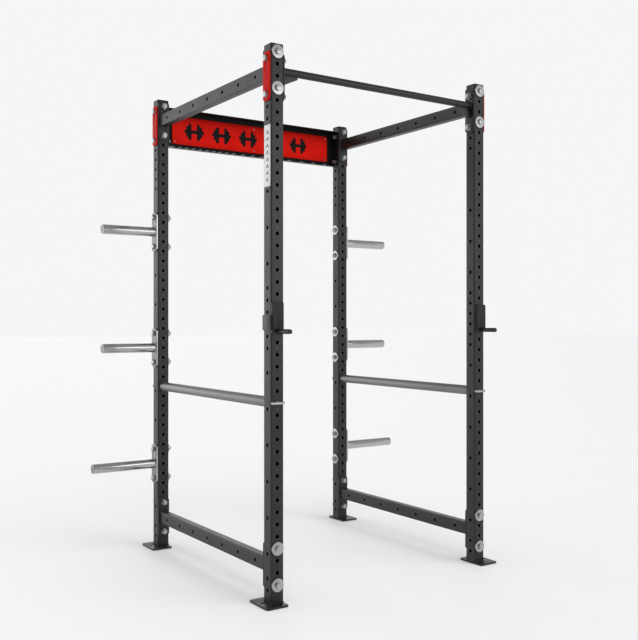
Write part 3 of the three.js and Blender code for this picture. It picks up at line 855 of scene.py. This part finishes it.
comb_back = tray_low.y + NOTCH_DEPTH + COMB_OVERLAP
tray_parts = [channel(tray_low, tray_high, tray_low.y, comb_back)]
comb = comb_loop(tray_low.x, tray_high.x, tray_low.y, comb_back)
tray_parts.append(plate("z", [comb], tray_low.z, tray_low.z + SHEET, (0, 0, 0), COMB_BEVEL))
end_height = tray_high.z - tray_low.z - 2 * SHEET - END_CLEARANCE
end_depth = tray_high.y - tray_low.y - SHEET - END_CLEARANCE
for low_x in (tray_low.x, tray_high.x - SHEET):
    middle_y = tray_low.y + end_depth / 2 + GAP
    loops = [round_corner_loop(end_depth, end_height, END_CORNER)]
    loops += [
        circle_loop(post_y["rear"] - middle_y, z, HOLE_RADIUS) for z in (-FLANGE_BOLTS, FLANGE_BOLTS)
    ]
    tray_parts.append(plate("x", loops, low_x, low_x + SHEET, (0, middle_y, TOP_PLATE_Z)))
tray = build("sign_tray_folded", tray_parts, charcoal_coat)
room_low = np.array(tray_low) + SHEET / 2
room_high = np.array(tray_high) - SHEET / 2
centres = face_centres(tray)
# Faces inside the tray's box get the darker charcoal: painted shade.
second_material(tray, tray_inside_painted_shade, ((centres > room_low) & (centres < room_high)).all(1))
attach(tray, "frame")
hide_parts("sign_tray", "sign_tray_comb")
print(tray.name, len(tray.data.polygons), "faces")

# %% [markdown]
# ## Sign panel
# The panel is a red sheet with pictures cut through it, so that the dark tray shows behind. The
# pictures here are a row of plain dumbbells. Half of a dumbbell is a row of steps, each with its
# reach from the middle and half its height, and mirroring the steps twice gives the whole outline.

# %% The red panel with dumbbells cut out of it
PANEL_CORNER = 12 * MM
DUMBBELL_STEPS = [(16 * MM, 9 * MM), (34 * MM, 43 * MM), (47 * MM, 29 * MM), (57 * MM, 9 * MM)]
DUMBBELLS = 5
DUMBBELL_PITCH = 165 * MM
DUMBBELL_MIDDLE = -37 * MM
DUMBBELL_SOFT = 3 * MM
PANEL_BEVEL = 0.3 * MM


def dumbbell_loop(middle):
    """A (z, x) outline: up the steps on one side, down on the other, mirrored top to bottom."""
    quarter = []
    start = 0.0
    for reach, tall in DUMBBELL_STEPS:
        quarter += [(tall, start), (tall, reach)]
        start = reach
    quarter = np.array(quarter[1:])
    corners = [quarter, quarter[::-1] * (-1, 1), quarter * (-1, -1), quarter[::-1] * (1, -1)]
    return softened(np.concatenate(corners) + (0, middle), DUMBBELL_SOFT, 3, True)


panel_low, panel_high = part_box("sign_panel")
panel_width = panel_high.x - panel_low.x
panel_height = panel_high.z - panel_low.z
loops = [round_corner_loop(panel_height, panel_width, PANEL_CORNER)]
for place in range(DUMBBELLS):
    offset = (place - (DUMBBELLS - 1) / 2) * DUMBBELL_PITCH
    loops.append(dumbbell_loop(DUMBBELL_MIDDLE + offset))
panel_at = (0, 0, TOP_PLATE_Z)
sheet = plate("y", loops, panel_low.y, panel_high.y, panel_at, PANEL_BEVEL)
panel = build("sign_panel_cut", [sheet], red_coat)
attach(panel, "frame")
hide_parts("sign_panel")
print(panel.name, "with", DUMBBELLS, "dumbbells")

# %% [markdown]
# Six button-head screws hold the panel: one in each corner and one in the middle of each long edge.
# A screw is a turned profile: a low dome with a small socket in the middle.

# %% The panel's screws
SCREW_INSET = 14 * MM
SCREW_RADIUS = 4.2 * MM
SCREW_RISE = 2.4 * MM
SOCKET_RADIUS = 1.7 * MM


def dome_screw(x, y, z):
    """Height = rise cos(a) at radius sin(a), with a flat-bottomed socket at the centre."""
    a = np.linspace(math.pi / 2, 0.42, 8)
    dome = np.column_stack([SCREW_RADIUS * np.sin(a), -SCREW_RISE * np.cos(a)])
    rim = [(SOCKET_RADIUS, dome[-1, 1]), (SOCKET_RADIUS, -SCREW_RISE * 0.45), (0, -SCREW_RISE * 0.45)]
    profile = np.concatenate([[(0, 0)], dome, rim])[::-1]
    return turned("y", profile, (x, y, z), 24)


parts = []
for x in (-panel_width / 2 + SCREW_INSET, 0, panel_width / 2 - SCREW_INSET):
    for z in (-panel_height / 2 + SCREW_INSET, panel_height / 2 - SCREW_INSET):
        parts.append(dome_screw(x, panel_low.y, TOP_PLATE_Z + z))
screws = build("sign_panel_screws", parts, zinc_bolts)
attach(screws, "frame")
print(screws.name, len(parts), "screws")

# %% [markdown]
# ## Hexagon bolts
# Every joint in the cage is an M16 bolt with a hexagon head, a washer, and a nut with its own washer
# and a little thread showing. A hexagon is a radius that depends on the angle, apothem over the
# cosine of the angle from the nearest flat, and the chamfer on its top is a circle that trims it.

# %% Parts of a bolt
HEAD_APOTHEM = 12 * MM
HEAD_HEIGHT = 10 * MM
NUT_HEIGHT = 13 * MM
WIDE_WASHER = (28 * MM, 5 * MM)
SMALL_WASHER = (15 * MM, 3 * MM)
THIN_WASHER = (13.5 * MM, 2 * MM)
WASHER_SOFT = 0.8 * MM
THREAD_RADIUS = 8 * MM
THREAD_TIP = 4 * MM
THREAD_DEPTH = 0.6 * MM
SHANK_SOFT = 0.3 * MM
HEX_AROUND = 48


def hexagon(axis, base, height, at, turn=0.0):
    """A hexagonal prism from base to base + height (either sign) with a chamfered outer face."""
    angle = np.linspace(0, 2 * math.pi, HEX_AROUND, endpoint=False)
    nearest = (angle + math.pi / 6) % (math.pi / 3) - math.pi / 6
    flat = HEAD_APOTHEM / np.cos(nearest)
    trim = HEAD_APOTHEM * 0.97
    chamfer = abs(height) * 0.16
    direction = 1 if height > 0 else -1
    waist = np.minimum(flat, HEAD_APOTHEM * 1.03)
    radii = np.stack([0 * flat, flat, flat, waist, 0 * flat + trim, 0 * flat])
    drop = chamfer * (flat - trim) / (flat.max() - trim)
    rise = np.stack([
        0 * flat, 0 * flat, abs(height) - drop, abs(height) - drop * 0.4,
        0 * flat + abs(height), 0 * flat + abs(height),
    ])
    u, v = radii * np.cos(angle + turn), radii * np.sin(angle + turn)
    points = np.stack([u.ravel(), v.ravel(), (base + direction * rise).ravel()], 1)
    faces = grid_faces(len(radii), HEX_AROUND, True)
    return placed(points, axis, at), faces if direction > 0 else faces[:, ::-1]


def washer(axis, size, face, out, at):
    """A flat ring with softened rims, standing on a face and growing outwards."""
    radius, thick = size
    start, end = sorted([face, face + out * thick])
    return round_bar(axis, radius, start, end, at, WASHER_SOFT, 40)


def thread(axis, start, end, at):
    """A short threaded tip: radius = 8 mm less a small triangle wave along the length."""
    low, high = min(start, end), max(start, end)
    steps = 13
    station = np.linspace(low, high, steps)
    wave = THREAD_RADIUS - THREAD_DEPTH * (np.arange(steps) % 2)
    profile = np.column_stack([wave, station])
    profile = np.concatenate([[(0, low)], profile, [(0, high)]])
    return turned(axis, profile, at, 24)


def hex_bolt(name, axis, head_face, nut_face, at, head_washer, nut_washer, turn=0.0):
    """Head and its washer outside head_face, nut, washer and thread tip outside nut_face."""
    out = 1 if head_face > nut_face else -1
    head_on = head_face + out * (GAP + head_washer[1])
    nut_on = nut_face - out * (GAP + nut_washer[1])
    nut_end = nut_on - out * NUT_HEIGHT
    parts = [
        washer(axis, head_washer, head_face + out * GAP, out, at),
        hexagon(axis, head_on, out * HEAD_HEIGHT, at, turn),
        washer(axis, nut_washer, nut_face - out * GAP, -out, at),
        hexagon(axis, nut_on, -out * NUT_HEIGHT, at, turn + 0.2),
        thread(axis, nut_end, nut_end - out * THREAD_TIP, at),
        round_bar(axis, THREAD_RADIUS, head_face, nut_face, at, SHANK_SOFT, 24),
    ]
    piece = build(name, parts, zinc_bolts, smooth=28)
    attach(piece, "frame")
    return piece


print("bolt parts ready")

# %% [markdown]
# The beam bolts run front to back and have wide 56 mm washers under their heads. The top bolts run
# sideways through the red plates into the pull-up bar or the tray. The peg bolts run sideways too,
# with their heads on the peg plates and wide washers inside the cage.

# %% Beam bolts, top bolts and peg bolts
rng = np.random.default_rng(SEED)
made = 0
for end, out in ENDS.items():
    for side in SIDES:
        for level, first in (("lower", 0), ("upper", 41)):
            for row in (0, 1):
                at = (post_x[side], 0, FACE_ROW + PITCH * (first + 3 * row))
                head_face = post_y[end] + out * POST_HALF
                nut_face = post_y[end] - out * (POST_HALF + GAP + FLANGE_THICK)
                name = f"{end}_{side}_{level}_beam_bolt_{row + 1}"
                turn = rng.uniform(0, math.pi / 3)
                piece = hex_bolt(
                    name + "_m16", "y", head_face, nut_face, at, WIDE_WASHER, SMALL_WASHER, turn,
                )
                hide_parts(name)
                made += 1
for end, cross, thick in (("front", "pull_up", FLANGE_THICK), ("rear", "tray", SHEET)):
    for side, out in SIDES.items():
        backing_low, backing_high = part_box(f"{end}_{side}_backing_plate")
        head_face = backing_high.x if out > 0 else backing_low.x
        nut_face = out * (INNER - GAP - thick)
        for row in (0, 1):
            at = (0, post_y[end], SIDE_ROW + PITCH * (41 + 3 * row))
            name = f"{end}_{side}_{cross}_bolt_{row + 1}"
            turn = math.pi / 6
            piece = hex_bolt(
                name + "_m16", "x", head_face, nut_face, at, THIN_WASHER, SMALL_WASHER, turn,
            )
            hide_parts(name)
            made += 1
PEGS = {"low": 6, "middle": 18, "high": 30}
PEG_PLATE = 8 * MM
for side, out in SIDES.items():
    for level, first in PEGS.items():
        for row in (0, 1):
            at = (0, post_y["rear"], SIDE_ROW + PITCH * (first + 3 * row))
            head_face = out * (INNER + 2 * POST_HALF + GAP + PEG_PLATE)
            name = f"{side}_{level}_peg_bolt_{row + 1}_m16"
            turn = rng.uniform(0, math.pi / 3)
            hex_bolt(name, "x", head_face, out * INNER, at, SMALL_WASHER, WIDE_WASHER, turn)
            made += 1
print("bolts made:", made)

# %% [markdown]
# ## Storage pegs
# A peg is a 48 mm tube closed by a welded disc and welded to a plate that bolts to the post. The
# disc and the bolting plate are duller than the tube, so they wear the satin steel.

# %% Six storage pegs
PEG_RADIUS = 24.15 * MM
PEG_SOFT = 2 * MM

for side, out in SIDES.items():
    for level, first in PEGS.items():
        low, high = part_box(f"{side}_{level}_storage_peg")
        height = SIDE_ROW + PITCH * first + FLANGE_BOLTS
        at = (0, post_y["rear"], height)
        inner_x, tip_x = (low.x, high.x) if out > 0 else (high.x, low.x)
        plate_x = inner_x + out * PEG_PLATE
        loops = [cut_corner_loop(FLANGE_WIDTH, high.z - low.z, FLANGE_CUT)]
        loops += bolt_loops(FLANGE_BOLTS, False)
        parts = [
            plate("x", loops, *sorted([inner_x, plate_x]), at),
            round_bar("x", PEG_RADIUS, plate_x, tip_x, at, PEG_SOFT, 64),
            bead("x", circle_loop(0, 0, PEG_RADIUS, 64), plate_x + out * BEAD_LIFT, at),
        ]
        peg = build(f"{side}_{level}_plate_peg", parts, zinc_plate)
        flats = abs(face_centres(peg)[:, :1] - (tip_x, plate_x)) < MARGIN
        second_material(peg, satin_steel, flats.any(1))
        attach(peg, "frame")
        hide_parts(f"{side}_{level}_storage_peg")
        print(peg.name, len(peg.data.polygons), "faces")

# %% [markdown]
# ## Bar hooks
# A hook is bent from 6 mm plate: a short cheek on the post's side that carries a locking pin, and a
# tall face in front of the post, with a round arm welded low down to carry the barbell. A plastic
# liner protects the bar from the steel face.

# %% Two bar hooks and their liners
HOOK_PLATE = 6 * MM
HOOK_CHEEK = (1133 * MM, 1197 * MM)
HOOK_FACE = (1119 * MM, 1251 * MM)
LINER_FACE = (1127 * MM, 1251 * MM)
HOOK_WIDTH = 54 * MM
ARM_HEIGHT = 1129 * MM
ARM_RADIUS = 10 * MM
PIN_RADIUS = 8 * MM
PIN_LENGTH = 44 * MM
HOOK_ROW = 22
HOOK_CUT = 6 * MM
CHEEK_CORNER = 2.5 * MM
ARM_SOFT = 4 * MM
LOCK_SOFT = 1.5 * MM
LOCK_BEAD = 0.8 * MM
LINER_BEVEL = 0.8 * MM


def hook_face_loop(bottom, top, x1, x2, notch=None):
    """An upright (z, x) face with cut upper corners and, if asked, a round notch over the arm."""
    left, right = min(x1, x2), max(x1, x2)
    corners = [(bottom, right), (top - HOOK_CUT, right), (top, right - HOOK_CUT)]
    corners += [(top, left + HOOK_CUT), (top - HOOK_CUT, left), (bottom, left)]
    loop = softened(corners, PLATE_SOFT, 3, True)
    if notch is None:
        return loop
    middle, radius = notch
    sweep = np.linspace(-1, 1, 15)
    start = math.acos((bottom - ARM_HEIGHT) / radius)
    angle = start * sweep
    arch = np.column_stack([
        ARM_HEIGHT + radius * np.cos(angle), middle + radius * np.sin(angle),
    ])
    return np.concatenate([loop, arch])


front_face = post_y["front"] - POST_HALF
for side, out in SIDES.items():
    low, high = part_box(f"{side}_bar_hook")
    outer_x = out * (INNER + 2 * POST_HALF)
    cheek_in, cheek_out = outer_x + out * GAP, outer_x + out * (GAP + HOOK_PLATE)
    face_in = outer_x - out * HOOK_WIDTH
    steel_back = front_face - GAP
    steel_front = steel_back - HOOK_PLATE
    cheek_mid_y = (steel_front + front_face + 2 * POST_HALF) / 2
    cheek_deep = front_face + 2 * POST_HALF - steel_front
    cheek_tall = HOOK_CHEEK[1] - HOOK_CHEEK[0]
    cheek_z = (HOOK_CHEEK[0] + HOOK_CHEEK[1]) / 2
    arm_x = outer_x - out * HOOK_WIDTH / 2
    face_loop = hook_face_loop(*HOOK_FACE, outer_x + out * GAP, face_in)
    pin_at = (0, post_y["front"], SIDE_ROW + HOOK_ROW * PITCH)
    arm_at = (arm_x, 0, ARM_HEIGHT)
    parts = [
        plate("x", [round_corner_loop(cheek_deep, cheek_tall, CHEEK_CORNER)],
              *sorted([cheek_in, cheek_out]), (0, cheek_mid_y, cheek_z)),
        plate("y", [face_loop], steel_front, steel_back, (0, 0, 0)),
        round_bar("y", ARM_RADIUS, steel_front + MM, low.y, arm_at, ARM_SOFT, 40),
        round_bar("x", PIN_RADIUS, cheek_in, outer_x - out * PIN_LENGTH, pin_at, LOCK_SOFT, 32),
        bead("x", circle_loop(0, 0, PIN_RADIUS, 32), cheek_in - out * MARGIN, pin_at, LOCK_BEAD),
    ]
    hook = build(f"{side}_bar_hook_steel", parts, charcoal_coat)
    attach(hook, f"{side}_hook")
    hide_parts(f"{side}_bar_hook")
    liner_low, liner_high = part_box(f"{side}_bar_hook_liner")
    loop = hook_face_loop(*LINER_FACE, outer_x, face_in, (arm_x, ARM_RADIUS + MM))
    sheet = plate("y", [loop], liner_low.y, liner_high.y, (0, 0, 0), LINER_BEVEL)
    liner = build(f"{side}_bar_hook_pad", [sheet], black_plastic)
    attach(liner, f"{side}_hook")
    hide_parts(f"{side}_bar_hook_liner")
    print(hook.name, "and", liner.name, len(hook.data.polygons), "faces")

# %% [markdown]
# ## Safety pipes and pins
# A safety pipe is a steel tube with a bored plug in each end. A pin with a short cross handle goes
# through the post from outside into the plug, so the pipe hangs between front and rear posts.

# %% Two pipes and four pins
PIPE_HEIGHT = FACE_ROW + 15 * PITCH
PLUG_LENGTH = 70 * MM
HANDLE_RADIUS = 6 * MM
HANDLE_GAP = 7 * MM
SHANK_INSET = 3 * MM
PIPE_SOFT = 1.2 * MM
PIN_SOFT = 2 * MM

for side in SIDES:
    low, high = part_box(f"{side}_safety_pipe")
    radius = (high.z - low.z) / 2
    at = (post_x[side], 0, PIPE_HEIGHT)
    bore, inside = HOLE_RADIUS, radius - WALL
    profile = softened([
        (bore, low.y), (radius, low.y), (radius, high.y), (bore, high.y),
        (bore, high.y - PLUG_LENGTH), (inside, high.y - PLUG_LENGTH),
        (inside, low.y + PLUG_LENGTH), (bore, low.y + PLUG_LENGTH),
    ], PIPE_SOFT, 3, True)
    profile = np.concatenate([profile, profile[:1]])
    pipe = build(f"{side}_safety_tube", [turned("y", profile, at, 64)], satin_steel)
    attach(pipe, f"{side}_pipe")
    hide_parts(f"{side}_safety_pipe")
    for end, out in ENDS.items():
        low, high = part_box(f"{end}_{side}_safety_pin")
        tip_y = low.y if out > 0 else high.y
        handle_y = post_y[end] + out * (POST_HALF + HANDLE_GAP)
        shank_start = handle_y - out * SHANK_INSET
        cross_at = (0, handle_y, PIPE_HEIGHT)
        parts = [
            round_bar("y", PIN_RADIUS, shank_start, tip_y, at, PIN_SOFT, 40),
            round_bar("x", HANDLE_RADIUS, low.x, high.x, cross_at, PIN_SOFT, 32),
        ]
        pin = build(f"{end}_{side}_cross_pin", parts, zinc_bolts)
        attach(pin, f"{end}_{side}_pin")
        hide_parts(f"{end}_{side}_safety_pin")
        print(pin.name, "in", pipe.name)

# %% [markdown]
# ## Label
# The front left post carries an upright white label of thin vinyl. Here it has a plain column of
# black chevrons. The chevrons are sheets of ink, each a filled outline a tenth of a millimetre thick.

# %% The label
LABEL = (50 * MM, 255 * MM)
LABEL_Z = 1855 * MM
LABEL_THICK = 0.3 * MM
LABEL_CORNER = 3 * MM
LABEL_LIFT = 0.05 * MM
MARK_LOW = 0.01 * MM
MARK_HIGH = 0.12 * MM
MARK_BEVEL = 0.02 * MM
CHEVRONS = 8
CHEVRON_SPAN = 196 * MM
CHEVRON_HALF = 13 * MM
CHEVRON_RISE = 9 * MM
CHEVRON_THICK = 8 * MM
label_x = post_x["left"] - POST_HALF
label_at = (0, post_y["front"], LABEL_Z)
outline = round_corner_loop(*LABEL, LABEL_CORNER)
skin = plate("x", [outline], label_x - LABEL_THICK, label_x - LABEL_LIFT, label_at, LABEL_LIFT)
label = build("front_left_label", [skin], white_vinyl)
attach(label, "frame")


def chevron(middle, half_width, rise, thick):
    """An upward arrowhead of constant thickness, as a (y, z) loop."""
    return np.array([
        (-half_width, middle - rise), (-half_width + thick, middle - rise), (0, middle + 0.2 * rise),
        (half_width - thick, middle - rise), (half_width, middle - rise), (0, middle + rise),
    ])[::-1]


surface = label_x - LABEL_THICK
parts = []
for z in np.linspace(-CHEVRON_SPAN / 2, CHEVRON_SPAN / 2, CHEVRONS):
    loop = chevron(z, CHEVRON_HALF, CHEVRON_RISE, CHEVRON_THICK)
    parts.append(plate("x", [loop], surface - MARK_HIGH, surface - MARK_LOW, label_at, MARK_BEVEL))
print_marks = build("front_left_label_chevrons", parts, black_ink)
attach(print_marks, "frame")
print(label.name, "with", len(parts), "chevrons")

# %% [markdown]
# ## Hole numbers
# Every fifth hole on the front faces is numbered in thin grey paint, to help set hooks level. The
# numbers are flat text turned into a mesh and lifted a hair off the face.

# %% The painted hole numbers
NUMBER_SIZE = 11 * MM
NUMBER_LIFT = 0.08 * MM
INK_THICK = 0.06 * MM


def number_mesh(text, x, y, z):
    """Flat text centred at a point on a face that looks towards the front."""
    curve = bpy.data.curves.new("number", "FONT")
    curve.body = text
    curve.size = NUMBER_SIZE
    curve.align_x = "CENTER"
    curve.align_y = "CENTER"
    curve.extrude = INK_THICK / 2
    curve.resolution_u = 2
    points, faces = curve_arrays(curve)
    return np.column_stack([x + points[:, 0], y - points[:, 2], z + points[:, 1]]), faces


for end in ENDS:
    for side in SIDES:
        parts = []
        for number in range(5, 45, 5):
            z = FACE_ROW + PITCH * (number - 0.5)
            y = post_y[end] - POST_HALF - NUMBER_LIFT
            parts.append(number_mesh(str(number), post_x[side], y, z))
        numbers = build(f"{end}_{side}_hole_numbers", parts, grey_ink)
        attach(numbers, "frame")
print("hole numbers done")

# %% [markdown]
# ## Studio
# The cage stands on a wide pale floor. The sky is near-white to the eye. As a light it is a studio:
# a bright backdrop behind the cage, a glow at the front right and a dim ceiling, all as smooth
# steps of the direction. That gives the dark coat one paler side and the round metal dark and
# bright bands. Two wide suns light the paint and the floor, and two softboxes add the long glints.

# %% Floor, sky and light
FLOOR_HALF = 60.0
FLOOR_DROP = 0.5 * MM
floor_points = np.array([(-1, -1, 0), (1, -1, 0), (1, 1, 0), (-1, 1, 0)], float) * FLOOR_HALF
floor_points[:, 2] = -FLOOR_DROP
floor = build("studio_floor", [(floor_points, np.array([[0, 1, 2, 3]]))], finish(
    "pale studio floor", (0.72, 0.72, 0.722), (0.74, 0.74, 0.742), 0.7, 0.0, 40, 0.00001,
))

world = bpy.data.worlds.new("studio sky")
bpy.context.scene.world = world
world.use_nodes = True
sky_nodes, sky_links = world.node_tree.nodes, world.node_tree.links
sky = sky_nodes["Background"]
sky.inputs["Color"].default_value = (1.0, 1.0, 1.0, 1)
heading = sky_nodes.new("ShaderNodeTexCoord")
split = sky_nodes.new("ShaderNodeSeparateXYZ")
sky_links.new(heading.outputs["Generated"], split.inputs["Vector"])


def ramp(source, start, end, low, high):
    """A smooth step of one number: low before start, high after end."""
    step = sky_nodes.new("ShaderNodeMapRange")
    step.interpolation_type = "SMOOTHSTEP"
    step.inputs["From Min"].default_value = start
    step.inputs["From Max"].default_value = end
    step.inputs["To Min"].default_value = low
    step.inputs["To Max"].default_value = high
    sky_links.new(source, step.inputs["Value"])
    return step.outputs["Result"]


def combined(operation, first, second):
    """One number from two."""
    sum_node = sky_nodes.new("ShaderNodeMath")
    sum_node.operation = operation
    sky_links.new(first, sum_node.inputs[0])
    sky_links.new(second, sum_node.inputs[1])
    return sum_node.outputs[0]


BACKDROP = 1.8
SIDE_GLOW = 0.85
CEILING = 0.45
SEEN_SKY = 0.92
behind = ramp(split.outputs["Y"], 0.3, 0.95, 0.0, BACKDROP)
before = ramp(split.outputs["Y"], -0.3, 0.3, 1.0, 0.0)
to_the_right = ramp(split.outputs["X"], 0.42, 0.8, 0.03, SIDE_GLOW)
near_horizon = ramp(split.outputs["Z"], 0.2, 0.65, 1.0, 0.0)
glow = combined("ADD", behind, combined("MULTIPLY", before, to_the_right))
fading = combined("MULTIPLY", glow, near_horizon)
overhead = ramp(split.outputs["Z"], 0.0, 0.5, 0.0, CEILING)
lighting = combined("ADD", fading, overhead)
ray = sky_nodes.new("ShaderNodeLightPath")
choice = sky_nodes.new("ShaderNodeMix")
sky_links.new(ray.outputs["Is Camera Ray"], choice.inputs["Factor"])
sky_links.new(lighting, choice.inputs["A"])
choice.inputs["B"].default_value = SEEN_SKY
sky_links.new(choice.outputs["Result"], sky.inputs["Strength"])


def soft_sun(name, direction, strength, angle):
    """A very wide sun from a direction: it lights paint and floor but leaves no glint on metal."""
    lamp = bpy.data.lights.new(name, "SUN")
    lamp.energy = strength
    lamp.angle = math.radians(angle)
    holder = bpy.data.objects.new(name, lamp)
    holder.rotation_euler = Vector(direction).to_track_quat("Z", "Y").to_euler()
    holder.visible_glossy = False
    bpy.context.scene.collection.objects.link(holder)


def softbox(name, at, aim, width, height, power):
    """A rectangular light that shows in metal and gloss as a bright band and leaves the floor alone."""
    lamp = bpy.data.lights.new(name, "AREA")
    lamp.shape = "RECTANGLE"
    lamp.size, lamp.size_y = width, height
    lamp.energy = power
    holder = bpy.data.objects.new(name, lamp)
    holder.location = at
    holder.rotation_euler = (Vector(at) - Vector(aim)).to_track_quat("Z", "Y").to_euler()
    holder.visible_camera = False
    holder.visible_diffuse = False
    bpy.context.scene.collection.objects.link(holder)


soft_sun("key_from_the_front", (0.10, -0.75, 0.9), 2.0, 60)
soft_sun("fill_from_above", (0.05, 0.10, 1.0), 0.8, 120)
softbox("softbox_front_right", (1.4, -3.9, 2.2), (-0.3, 0.2, 1.2), 2.6, 1.9, 37)
softbox("softbox_rear_left", (-2.7, 3.2, 1.25), (-0.5, -0.3, 1.2), 2.0, 2.5, 15)
print("lights:", len(bpy.data.lights), "and a studio sky")

# %% [markdown]
# ## Camera
# The view is level, from the front left, at about chest height, with a 50 mm lens. A small shift
# centres the cage in the frame.

# %% The camera
LENS = 50.15
SENSOR = 36.0
RISE = 0.0011
EYE = (-2.476, -3.748, 1.173)
HEADING = (0.5573, 0.8303)
camera_data = bpy.data.cameras.new("camera")
camera = bpy.data.objects.new("camera", camera_data)
bpy.context.scene.collection.objects.link(camera)
bpy.context.scene.camera = camera
camera_data.lens = LENS
camera_data.sensor_width = SENSOR
camera_data.shift_y = RISE
camera.location = Vector(EYE) + Vector((0, cage_y, 0))
camera.rotation_euler = (math.radians(90), 0, -math.atan2(*HEADING))
bpy.context.scene.view_settings.view_transform = "Standard"
print("camera at", [round(v, 3) for v in camera.location], "lens", camera_data.lens)
